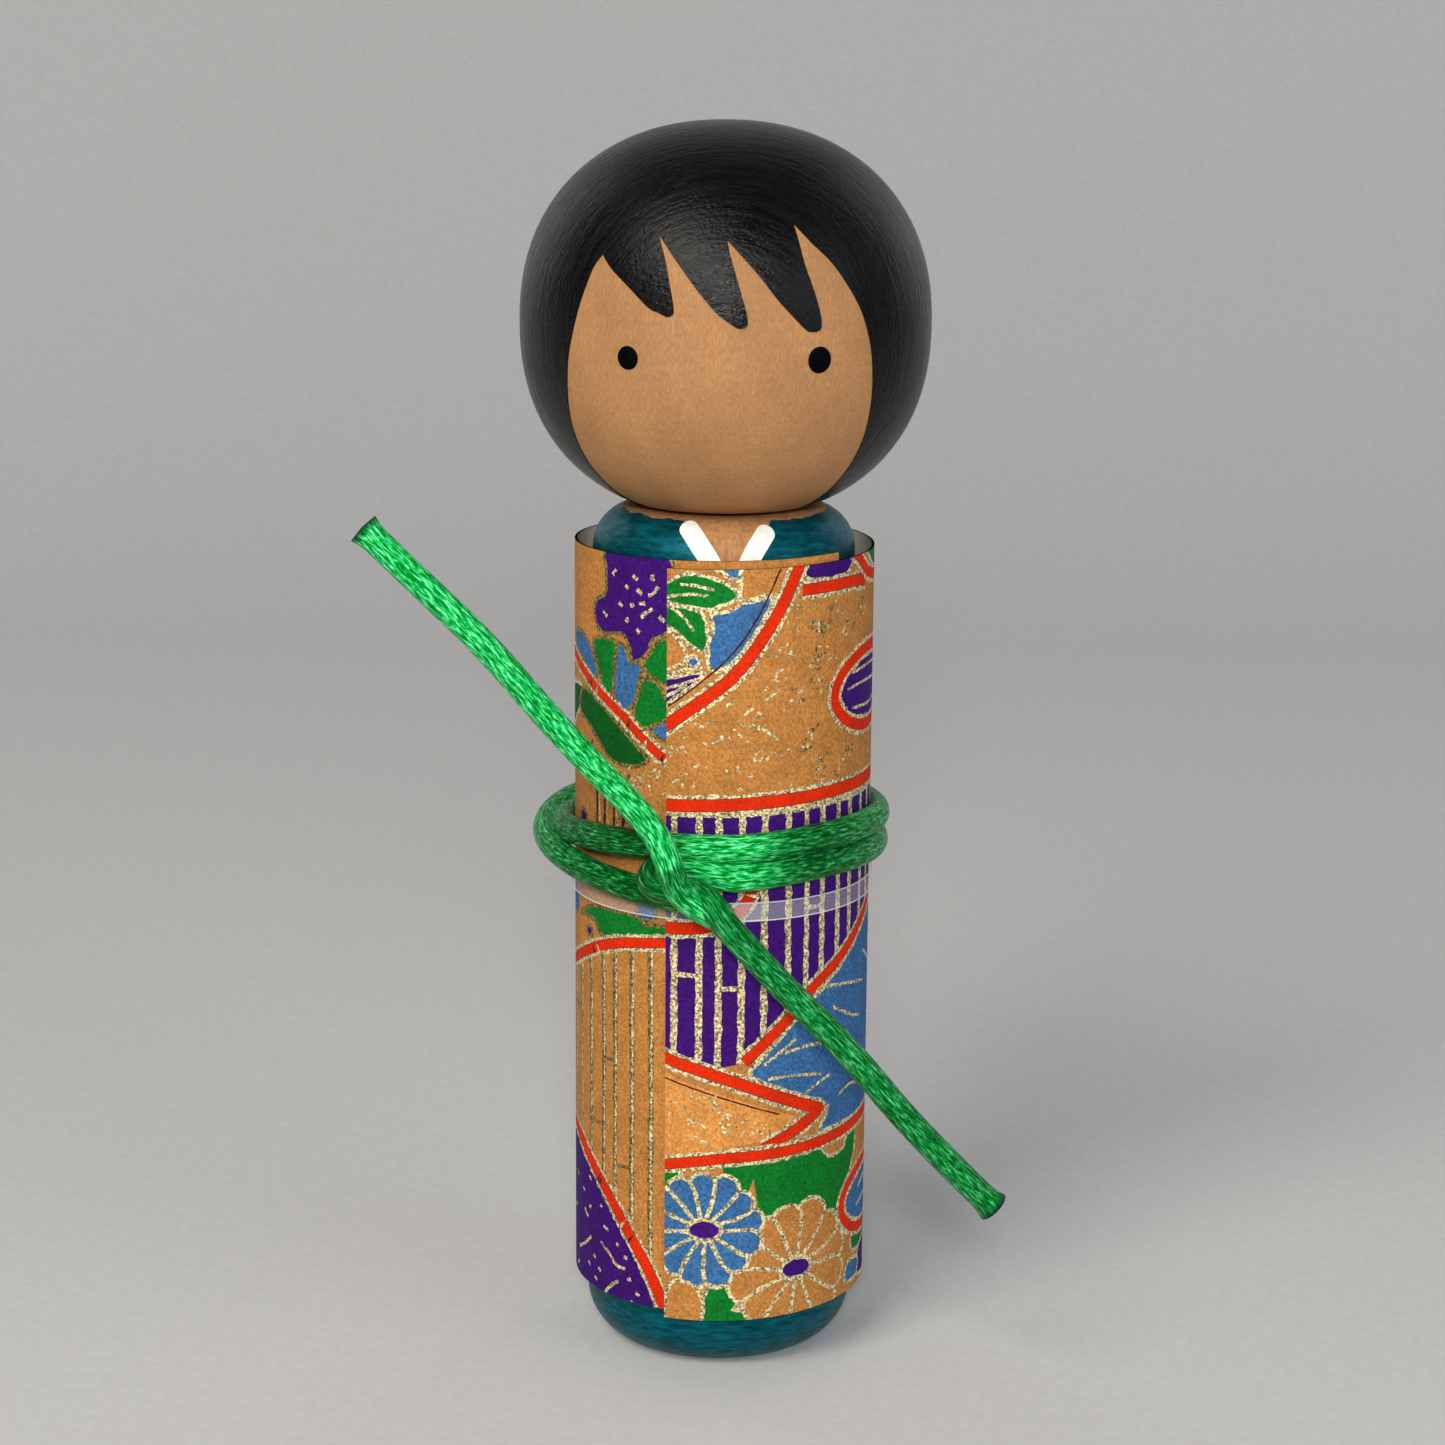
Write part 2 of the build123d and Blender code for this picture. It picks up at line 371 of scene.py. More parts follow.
def clear_film(name):
    """Clear polypropylene strip: glossy, nearly invisible, with painted light: whiter and less clear along
    its cut edges.
    """
    material, tree, shader = start_material(
        name, Base_Color=(0.9, 0.9, 0.92, 1), Roughness=0.12, IOR=1.49, Alpha=0.2
    )
    off_middle = maths(tree, "ABSOLUTE", maths(tree, "SUBTRACT", own_place(tree)[2], FILM_MIDDLE * MM))
    # painted reflection: bands along the cut edges made whiter and less clear
    rim = maths(tree, "GREATER_THAN", off_middle, FILM_PAINTED_EDGE * MM)
    tree.links.new(maths(tree, "ADD", maths(tree, "MULTIPLY", rim, 0.4), 0.09), shader.inputs["Alpha"])
    material.surface_render_method = "BLENDED"
    return material


# --- surfaces of the turned wood ------------------------------------------------------------
def around(angle, radius, height):
    """A point at an angle from the front towards +X, in degrees, a radius and a height."""
    turn = radians(angle)
    return (radius * sin(turn), -radius * cos(turn), height)


def head_surface(azimuth, polar):
    """A point and outward direction on the head, in mm; azimuth from the front towards +X, degrees."""
    across, along = sin(radians(polar)), cos(radians(polar))
    if along >= 0:
        height, power = CROWN_HEIGHT, CROWN_SQUARENESS
    else:
        height, power = JAW_DEPTH, JAW_SQUARENESS
    reach = ((across / HEAD_RADIUS) ** power + (abs(along) / height) ** power) ** (-1 / power)
    side, up = across * reach, along * reach
    slope_side = (side / HEAD_RADIUS) ** (power - 1) / HEAD_RADIUS
    slope_up = (abs(up) / height) ** (power - 1) / height * (1 if along >= 0 else -1)
    normal = Vector(around(azimuth, slope_side, slope_up)).normalized()
    return Vector(around(azimuth, side, HEAD_CENTRE + up)), normal


def shoulder_surface(azimuth, height):
    """A point and outward direction on the body near the shoulder, in mm."""
    edge_height = SHOULDER_TOP - SHOULDER_EDGE
    lean = max(0.0, min(1.0, (height - edge_height) / SHOULDER_EDGE))
    flat = (1 - lean * lean) ** 0.5
    radius = SHOULDER_RADIUS - SHOULDER_EDGE + SHOULDER_EDGE * flat
    return Vector(around(azimuth, radius, height)), Vector(around(azimuth, flat, lean))


def line_through(points, step, closed=False, smooth=True):
    """Points about step apart through given ones, on a Catmull-Rom curve or straight runs."""
    count = len(points)
    line = []
    for index in range(count if closed else count - 1):
        if closed:
            before, start, end, after = (points[(index + k) % count] for k in (-1, 0, 1, 2))
        else:
            start, end = points[index], points[index + 1]
            before = points[index - 1] if index else start
            after = points[index + 2] if index + 2 < count else end
        pieces = max(1, ceil(hypot(end[0] - start[0], end[1] - start[1]) / step))
        for piece in range(pieces):
            t = piece / pieces
            if not smooth:
                line.append(tuple(start[axis] + t * (end[axis] - start[axis]) for axis in (0, 1)))
                continue
            weights = (
                -0.5 * t + t * t - 0.5 * t**3,
                1 - 2.5 * t * t + 1.5 * t**3,
                0.5 * t + 2 * t * t - 1.5 * t**3,
                -0.5 * t * t + 0.5 * t**3,
            )
            near = (before, start, end, after)
            line.append(tuple(sum(w * p[axis] for w, p in zip(weights, near)) for axis in (0, 1)))
    if not closed:
        line.append(tuple(points[-1]))
    return line


def area_of(outline):
    """Twice the area inside an outline, above zero if it runs anticlockwise."""
    return sum(a[0] * b[1] - b[0] * a[1] for a, b in zip(outline, outline[1:] + outline[:1]))


def turned_left(outline):
    """The outline, running anticlockwise."""
    return outline if area_of(outline) > 0 else outline[::-1]


def rim_of(triangles):
    """The edges that only one triangle uses, each in its triangle's direction."""
    edges = {edge: True for a, b, c in triangles for edge in ((a, b), (b, c), (c, a))}
    return [(a, b) for a, b in edges if (b, a) not in edges]


def only_used(flat, triangles):
    """The points that the triangles use, and the triangles numbered by them."""
    used = sorted({corner for triangle in triangles for corner in triangle})
    number = {old: new for new, old in enumerate(used)}
    return [flat[old] for old in used], [tuple(number[c] for c in t) for t in triangles]


def make_piece(name, points, faces, normals, materials, face_materials=None):
    """A mesh object from points in mm, with its shading directions given for each face corner."""
    mesh = bpy.data.meshes.new(name)
    mesh.from_pydata([Vector(p) * MM for p in points], [], faces)
    for material in materials:
        mesh.materials.append(material)
    if face_materials:
        mesh.polygons.foreach_set("material_index", face_materials)
    mesh.polygons.foreach_set("use_smooth", [True] * len(mesh.polygons))
    mesh.normals_split_custom_set(normals)
    mesh.update()
    piece = bpy.data.objects.new(name, mesh)
    bpy.context.scene.collection.objects.link(piece)
    return piece


def film_faces(flat_points, triangles, place, lift, depth):
    """A thin closed film over a surface: its top, its underside and the wall round its edge."""
    a, b, c = (place(flat_points[corner], 0.0) for corner in triangles[0])
    if (b[0] - a[0]).cross(c[0] - a[0]).dot(a[1]) < 0:
        triangles = [corners[::-1] for corners in triangles]
    top = [place(p, lift) for p in flat_points]
    under = [place(p, -depth) for p in flat_points]
    count = len(flat_points)
    points = [p for p, _ in top] + [p for p, _ in under]
    faces, normals = [], []
    for a, b, c in triangles:
        faces.append((a, b, c))
        normals.extend((top[a][1], top[b][1], top[c][1]))
        faces.append((c + count, b + count, a + count))
        normals.extend((-top[c][1], -top[b][1], -top[a][1]))
    for a, b in rim_of(triangles):
        side = (points[b] - points[a]).cross(top[a][1]).normalized()
        faces.append((b, a, a + count, b + count))
        normals.extend([side] * 4)
    return points, faces, normals


# --- camera, floor and light ----------------------------------------------------------------
CAMERA_LENS, SENSOR_WIDTH = 84.7, 36.0
CAMERA_PLACE, LOOKS_DOWN, LEANS = (0, -0.2824, 0.1191), 12.9, 0.45
FLOOR_WIDTH, FLOOR_DEPTH, BACKDROP_HEIGHT, BACKDROP_BEND = 3.0, 1.2, 1.6, 0.3
LIT_PLACE = (0, 0, 0.06)
# name, place and size in metres, power in watts, tint
SOFTBOXES = [
    ("window", (-0.35, -0.55, 0.62), (0.42, 0.42), 4.7, "FFF8EE"),
    ("fill", (0.6, -0.45, 0.3), (0.5, 0.5), 1.4, "EAF0FF"),
    ("front", (0.0, -0.62, 0.29), (0.09, 0.09), 2.2, "FFFDF8"),
    ("back left", (-0.42, 0.45, 0.3), (0.2, 0.5), 0.3, "F0F4FF"),
    ("back right", (0.42, 0.45, 0.3), (0.2, 0.5), 0.3, "F0F4FF"),
]


def add_softbox(name, place, size, power, tint):
    """A square soft light that looks at the doll."""
    lamp = bpy.data.lights.new(name, "AREA")
    lamp.shape = "RECTANGLE"
    lamp.size, lamp.size_y = size
    lamp.energy = power
    lamp.color = linear(tint)[:3]
    holder = bpy.data.objects.new(name, lamp)
    bpy.context.scene.collection.objects.link(holder)
    holder.location = place
    away = holder.location - Vector(LIT_PLACE)
    holder.rotation_euler = away.to_track_quat("Z", "Y").to_euler()


class DOLL_OT_stage(bpy.types.Operator):
    """Sets the camera, the pale floor and the soft light"""

    bl_idname = "doll.stage"
    bl_label = "Stage"

    def execute(self, context):
        eye = bpy.data.cameras.new("camera")
        eye.lens = CAMERA_LENS
        eye.sensor_width = SENSOR_WIDTH
        eye.clip_start = 0.01
        holder = bpy.data.objects.new("camera", eye)
        context.scene.collection.objects.link(holder)
        look_down = Matrix.Rotation(radians(90 - LOOKS_DOWN), 4, "X")
        tilt = Matrix.Rotation(radians(LEANS), 4, "Z")
        holder.matrix_world = Matrix.Translation(CAMERA_PLACE) @ look_down @ tilt
        context.scene.camera = holder
        context.scene.view_settings.view_transform = "Standard"

        # a floor whose far edge is drawn up into a backdrop, with a wide bend between
        bpy.ops.object.select_all(action="DESELECT")
        bpy.ops.mesh.primitive_plane_add(size=1, location=(0, 0, 0))
        floor = context.object
        floor.name = "floor"
        bpy.ops.object.mode_set(mode="EDIT")
        bpy.ops.transform.resize(value=(FLOOR_WIDTH, FLOOR_DEPTH, 1))
        bpy.ops.mesh.select_mode(type="EDGE")
        bpy.ops.mesh.select_all(action="DESELECT")
        bpy.ops.object.mode_set(mode="OBJECT")
        for edge in floor.data.edges:
            edge.select = all(floor.data.vertices[v].co.y > 0.5 for v in edge.vertices)
        bpy.ops.object.mode_set(mode="EDIT")
        bpy.ops.mesh.extrude_region_move(TRANSFORM_OT_translate={"value": (0, 0, BACKDROP_HEIGHT)})
        bpy.ops.object.mode_set(mode="OBJECT")
        bend = floor.modifiers.new("sweep", "BEVEL")
        bend.width = BACKDROP_BEND
        bend.segments = 12
        bend.angle_limit = radians(30)
        bpy.ops.object.modifier_apply(modifier="sweep")
        bpy.ops.object.shade_smooth()
        card, tree, shader = start_material("pale card", Roughness=0.7)
        tone = ramp(tree, noise(tree, 900, 2), [(0.3, linear("C9C9C8")), (0.7, linear("CFCFCE"))])
        tree.links.new(tone, shader.inputs["Base Color"])
        floor.data.materials.append(card)

        world = context.scene.world or bpy.data.worlds.new("soft room")
        context.scene.world = world
        world.use_nodes = True
        glow = world.node_tree.nodes["Background"].inputs
        glow["Color"].default_value = linear("E6EAF0")
        glow["Strength"].default_value = 0.16
        for softbox in SOFTBOXES:
            add_softbox(*softbox)
        return {"FINISHED"}


# --- cord -----------------------------------------------------------------------------------
# The cord's route, in mm, from the upper tail's end to the lower tail's end.
UPPER_TAIL = [
    (-28.6, -16.3, 73.7), (-24.0, -17.0, 69.4), (-19.0, -17.4, 64.7), (-12.9, -17.3, 57.4),
    (-7.4, -17.0, 51.6), (-5.5, -17.1, 49.4),
]
# the upper tail crosses the front of the knot and hooks under the lower tail
FRONT_STRAND = [
    (-4.4, -17.4, 47.2), (-3.9, -17.5, 45.3), (-3.3, -17.4, 44.1), (-2.2, -17.0, 43.1),
    (-1.0, -16.6, 42.3), (-0.2, -16.1, 41.7), (0.15, -15.2, 41.5), (-0.2, -14.2, 41.7),
    (-1.1, -13.8, 42.1), (-2.7, -13.75, 42.6),
]
# angle from the front towards +X, distance from the axis and height
FIRST_TURN = [
    (338, 13.9, 42.8), (322, 13.9, 43.2), (306, 14.1, 43.6), (288, 14.7, 44.2), (270, 15.3, 44.9),
    (250, 15.5, 45.6), (228, 15.5, 46.0), (205, 15.1, 46.4), (180, 14.3, 46.6), (150, 13.9, 46.6),
    (120, 13.8, 46.6), (90, 13.8, 46.9), (65, 13.8, 47.3), (40, 13.8, 47.3), (20, 13.85, 47.1),
    (5, 13.9, 46.9),
]
SECOND_TURN = [
    (348, 13.85, 46.9), (330, 13.8, 46.8), (310, 13.8, 46.6), (290, 13.8, 46.2), (270, 13.8, 45.8),
    (240, 13.8, 45.3), (210, 13.8, 44.8), (180, 13.8, 44.4), (150, 13.8, 44.2), (120, 13.8, 44.2),
    (90, 13.8, 44.5), (60, 13.8, 44.9), (30, 13.8, 44.9), (12, 13.85, 44.6),
]
# the last turn passes behind the front strand, rounds its far side and comes back over the hook
BACK_STRAND = [
    (1.0, -13.9, 44.5), (-0.9, -13.9, 44.8), (-2.7, -13.7, 45.1), (-4.5, -13.5, 45.3),
    (-5.5, -13.8, 45.15), (-5.9, -14.6, 44.6), (-5.5, -15.35, 44.1), (-4.6, -15.65, 43.9),
    (-3.2, -15.7, 44.0), (-2.0, -16.0, 43.9), (-1.1, -16.8, 43.5), (-0.4, -17.4, 42.7),
]
LOWER_TAIL = [
    (0.5, -17.5, 41.4), (1.9, -17.1, 39.8), (5.2, -16.7, 36.0), (10.4, -16.9, 31.0), (16.4, -16.7, 23.5),
    (22.8, -16.0, 17.0),
]
# painted light and shade of the satin: how lit it is painted, from 0 shaded to 1 lit, by place across the
# front, in mm
WINDING_PAINTED_LIGHT = [
    (-16, 0.55), (-12, 0.2), (-6, 0.1), (-4, 0.3), (-2.6, 0.9), (2, 0.95), (5, 0.35), (8, 0.15),
    (11, 0.3), (15, 0.7),
]
UPPER_TAIL_PAINTED_LIGHT = 1.0
LOWER_TAIL_PAINTED_LIGHT = 0.35
CORD_SIDES = 20
CORD_STEP = 0.35
# the cord flattens against the sheet where its middle lies nearer the axis than this
PRESS_START = 14.7
FLATTENED, SPREAD = 0.2, 0.06
# its cut ends are melted: dark, a little flared and domed
FLARE, FLARE_LENGTH = 0.22, 1.6
SINGED_LENGTH = 0.5
END_DOME = 0.18
# parts of the cord's length that count as its tails, and the painted light share behind the doll, where the
# cord is painted in shade
UPPER_TAIL_LENGTH, LOWER_TAIL_LENGTH = 37, 38
BEHIND_PAINTED_LIGHT = 0.45


def cord_route():
    """Control points of the whole cord, in mm."""
    turns = [around(*stop) for stop in FIRST_TURN + SECOND_TURN]
    return UPPER_TAIL + FRONT_STRAND + turns + BACK_STRAND + LOWER_TAIL


def painted_light_share(spot, from_upper_end, from_lower_end):
    """How lit the satin is painted at a place on the cord: painted light and shade."""
    if from_upper_end < UPPER_TAIL_LENGTH:
        return UPPER_TAIL_PAINTED_LIGHT
    if from_lower_end < LOWER_TAIL_LENGTH:
        return LOWER_TAIL_PAINTED_LIGHT
    if spot.y > 0:
        return BEHIND_PAINTED_LIGHT
    for (a, first), (b, second) in zip(WINDING_PAINTED_LIGHT, WINDING_PAINTED_LIGHT[1:]):
        if spot.x <= b:
            return first + (second - first) * max(0.0, (spot.x - a) / (b - a))
    return WINDING_PAINTED_LIGHT[-1][1]


def spline_points(route):
    """Points of a smooth spline that has the route as its control points, in mm."""
    curve = bpy.data.curves.new("cord route", "CURVE")
    curve.dimensions = "3D"
    spline = curve.splines.new("NURBS")
    spline.points.add(len(route) - 1)
    for point, place in zip(spline.points, route):
        point.co = (place[0] * MM, place[1] * MM, place[2] * MM, 1)
    spline.order_u = 3
    spline.use_endpoint_u = True
    spline.resolution_u = 12
    holder = bpy.data.objects.new("cord route", curve)
    line = bpy.data.meshes.new_from_object(holder)
    points = [v.co / MM for v in line.vertices]
    bpy.data.objects.remove(holder)
    bpy.data.curves.remove(curve)
    bpy.data.meshes.remove(line)
    return points


def spaced_evenly(points, step):
    """The same line with its points evenly spaced."""
    lengths = [0.0]
    for a, b in zip(points, points[1:]):
        lengths.append(lengths[-1] + (b - a).length)
    count = ceil(lengths[-1] / step)
    line, index = [], 0
    for k in range(count + 1):
        wanted = lengths[-1] * k / count
        while index < len(points) - 2 and lengths[index + 1] < wanted:
            index += 1
        span = max(1e-9, lengths[index + 1] - lengths[index])
        line.append(points[index].lerp(points[index + 1], (wanted - lengths[index]) / span))
    return line


class DOLL_OT_cord(bpy.types.Operator):
    """Winds the satin cord round the waist, with its half knot and two tails"""

    bl_idname = "doll.cord"
    bl_label = "Satin cord"

    def execute(self, context):
        sizes, colours = context.scene.doll_sizes, context.scene.doll_colours
        radius = sizes.cord_diameter / MM / 2
        line = spaced_evenly(spline_points(cord_route()), CORD_STEP)
        total = CORD_STEP * (len(line) - 1)
        count = len(line)
        side = Vector((0, -1, 0))
        points, lay, singed, painted_light = [], [], [], []
        for index, centre in enumerate(line):
            ahead = (line[min(index + 1, count - 1)] - line[max(index - 1, 0)]).normalized()
            side = (side - ahead * side.dot(ahead)).normalized()
            other = ahead.cross(side)
            along = index / (count - 1) * total
            to_end = min(along, total - along)
            # how lit the satin is painted here: painted light and shade
            share = painted_light_share(centre, along, total - along)
            flare = 1 + FLARE * max(0.0, 1 - to_end / FLARE_LENGTH) ** 2
            outward = Vector((centre.x, centre.y, 0)).normalized()
            pressed = max(0.0, min(1.0, PRESS_START - hypot(centre.x, centre.y)))
            for step in range(CORD_SIDES):
                angle = tau * step / CORD_SIDES
                reach = (side * cos(angle) + other * sin(angle)) * radius * flare
                spot = centre + reach - outward * reach.dot(outward) * FLATTENED * pressed
                spot.z += reach.z * SPREAD * pressed
                points.append(spot)
                lay.extend((cos(angle) * radius, sin(angle) * radius, along))
                singed.append(max(0.0, min(1.0, 1.3 - to_end / SINGED_LENGTH)))
                painted_light.append(share)
        faces = []
        for index in range(count - 1):
            for step in range(CORD_SIDES):
                a = index * CORD_SIDES + step
                b = index * CORD_SIDES + (step + 1) % CORD_SIDES
                faces.append((a, b, b + CORD_SIDES, a + CORD_SIDES))
        for end, outwards in ((0, -1), (count - 1, 1)):
            direction = (line[end] - line[end - 1 if end else 1]).normalized()
            hub = len(points)
            points.append(line[end] + direction * END_DOME)
            lay.extend((0.0, 0.0, end * total))
            singed.append(1.0)
            painted_light.append(0.0)
            for step in range(CORD_SIDES):
                a = end * CORD_SIDES + step
                b = end * CORD_SIDES + (step + 1) % CORD_SIDES
                faces.append((a, b, hub) if outwards > 0 else (b, a, hub))
        mesh = bpy.data.meshes.new("obi_cord")
        mesh.from_pydata([p * MM for p in points], [], faces)
        mesh.attributes.new("lay", "FLOAT_VECTOR", "POINT").data.foreach_set("vector", lay)
        # the singed ends, and the painted light share along the cord
        for name, values in (("singed", singed), ("painted_light", painted_light)):
            mesh.attributes.new(name, "FLOAT", "POINT").data.foreach_set("value", values)
        mesh.polygons.foreach_set("use_smooth", [True] * len(faces))
        mesh.materials.append(satin_cord("green satin cord", tuple(colours.cord)))
        cord = bpy.data.objects.new("obi_cord", mesh)
        context.scene.collection.objects.link(cord)
        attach(cord, "doll")
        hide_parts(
            "obi_cord_winding", "obi_cord_knot", "obi_cord_tail_upper", "obi_cord_tail_lower"
        )
        return {"FINISHED"}


# --- kimono ---------------------------------------------------------------------------------
# The print, in mm on the flat sheet: along it from the front centre line, and up from its lower edge.
SMALLEST_MARK = 0.001
FRONT_SPACING, BACK_SPACING = 1.15, 2.3
INKS = ["tan", "sand", "purple", "green", "dark green", "blue", "red", "gold", "olive", "brown"]
FRONT_BARS = (-4.0, -1.9, -0.3, 1.6, 3.5, 5.6, 9.0, 10.9, 12.6, 14.6, 16.4, 18.2, 20.0, 21.8, 23.6)
SIDE_BARS = (59.7, 61.6, 63.6, 65.6, 67.6, 69.1, 71.0, 72.9)
BACK_BARS = (37.0, 38.8, 40.7, 42.5, 44.3, 46.2, 48.0, 49.8, 51.7, 53.5)
FRONT_SLANT = [
    (1.9, 22.9), (3.9, 24.7), (6.1, 26.7), (8.0, 28.6), (11.3, 30.6), (15, 33), (19, 35.4), (25, 39.4),
    (31, 44.4),
]
UPPER_BAND = [
    (-4.8, 44.9), (0, 45.1), (10, 45.35), (19.6, 45.4), (30, 45.9), (40, 48), (50, 51.8), (58, 54.6),
    (61.2, 55.1),
]
LOWER_BAND = [
    (-4.8, 13.75), (0, 14.5), (5, 14.7), (10, 14.95), (15, 15.3), (19.6, 15.7), (30, 17.5), (40, 21.2),
    (50, 25.2), (60.2, 27.9),
]
SIDE_BAND = [
    (60.2, 27.9), (62.7, 29.0), (65.2, 30.1), (67.7, 31.1), (70.2, 31.8), (72.2, 32.1), (74.6, 32.4),
    (80, 32.8),
]
SIDE_SLANT = [
    (46, 0), (51, 6.2), (56, 11.0), (60.2, 13.4), (63.2, 12.8), (65.2, 11.6), (67.2, 10.1), (69.2, 8.1),
    (71.2, 5.6), (72.7, 3.4), (73.9, 1.1), (74.6, -0.5),
]
UPPER_SLANT = [
    (61.2, 55.1), (64.2, 54.1), (67.2, 52.7), (69.7, 51.4), (71.7, 49.9), (73.2, 48.7), (74.6, 47.8),
    (78, 45.5),
]


def height_on(line, across):
    """Height of a line of points at a place along the sheet."""
    for start, end in zip(line, line[1:]):
        if start[0] <= across <= end[0]:
            share = (across - start[0]) / max(1e-9, end[0] - start[0])
            return start[1] + share * (end[1] - start[1])
    return line[-1][1] if across > line[-1][0] else line[0][1]


def oval(centre, across, up, count):
    """Points of an oval with its half width and half height."""
    return [
        (centre[0] + across * cos(tau * k / count), centre[1] + up * sin(tau * k / count))
        for k in range(count)
    ]


class Print:
    """The marks of the print in the order they are laid down, each an ink and an outline."""

    def __init__(self, gold_width):
        self.marks = []
        self.gold_width = gold_width
        self.edge_ink = "gold"
        self.chance = Random(11)
        self.shift = (0.0, 0.0)

    def moved(self, points):
        """The points, shifted to the part of the sheet that is being drawn."""
        return [(x + self.shift[0], y + self.shift[1]) for x, y in points]

    def lay_down(self, ink, outline):
        """Keeps a mark unless it is too small to cut."""
        if abs(area_of(outline)) > SMALLEST_MARK:
            self.marks.append((ink, turned_left(outline)))

    def stroke(self, ink, width, points, rough=0.0, closed=False, smooth=True, step=0.4):
        """A line of ink, its width wandering by a share of rough."""
        line = line_through(self.moved(points), step, closed, smooth)
        count = len(line)
        edges = []
        for index, (x, y) in enumerate(line):
            if closed:
                before, after = line[index - 1], line[(index + 1) % count]
            else:
                before, after = line[max(index - 1, 0)], line[min(index + 1, count - 1)]
            along = hypot(after[0] - before[0], after[1] - before[1]) or 1.0
            across = (-(after[1] - before[1]) / along, (after[0] - before[0]) / along)
            sides = []
            for sign in (1, -1):
                half = width / 2 * (1 + rough * self.chance.uniform(-1, 1))
                sides.append((x + sign * half * across[0], y + sign * half * across[1]))
            edges.append(sides)
        for index in range(count if closed else count - 1):
            (left, right), (next_left, next_right) = edges[index], edges[(index + 1) % count]
            self.lay_down(ink, [left, right, next_right])
            self.lay_down(ink, [left, next_right, next_left])

    def fill(self, ink, points, outline=True, smooth=True):
        """A field of ink, with an outline unless told not to."""
        self.lay_down(ink, line_through(self.moved(points), 0.5, True, smooth))
        if outline:
            self.stroke(self.edge_ink, self.gold_width, points, 0.35, True, smooth)

    def band(self, width, points, smooth=True):
        """A red band with a thin dark line and then a grainy gold edge on both sides."""
        for ink, wider, rough in (("gold", 0.72, 0.12), ("brown", 0.1, 0.03), ("red", 0, 0.02)):
            self.stroke(ink, width + wider, points, rough, smooth=smooth)

    def flower(self, ink, centre, reach, petals, heart, turned=0.0):
        """A chrysanthemum: round-ended petals with gold outlines about a purple heart."""
        for petal in range(petals):
            angle = tau * petal / petals + turned
            length = reach * self.chance.uniform(0.93, 1.05)
            half = pi * length / petals * 0.93
            shape = [
                (heart * 0.6, 0.0), (length * 0.45, -half * 0.62), (length * 0.82, -half),
                (length * 0.98, -half * 0.5), (length, 0.0), (length * 0.98, half * 0.5),
                (length * 0.82, half), (length * 0.45, half * 0.62),
            ]
            c, s = cos(angle), sin(angle)
            self.fill(ink, [(centre[0] + x * c - y * s, centre[1] + x * s + y * c) for x, y in shape])
        self.fill("purple", oval(centre, heart, heart * 0.62, 10))

    def ring(self, ink, centre, reach, thick, inside):
        """An oval red ring with gold edges round a field of ink."""
        line = oval(centre, *reach, 18)
        self.fill(inside, line, outline=False)
        self.stroke("gold", thick + 0.7, line, 0.12, True)
        self.stroke(ink, thick, line, 0.02, True)

    def flecks(self, ink, box, count, length, width, slope=0.0, spread=0.6):
        """Short dashes scattered over a box, such as gold or brown flecks."""
        for _ in range(count):
            x, y = self.chance.uniform(box[0], box[2]), self.chance.uniform(box[1], box[3])
            angle = slope + self.chance.uniform(-spread, spread)
            reach = length * self.chance.uniform(0.5, 1.2) / 2
            ends = [
                (x - reach * cos(angle), y - reach * sin(angle)),
                (x, y + self.chance.uniform(-0.12, 0.12)),
                (x + reach * cos(angle), y + reach * sin(angle)),
            ]
            self.stroke(ink, width * self.chance.uniform(0.7, 1.2), ends, 0.3, step=0.3)


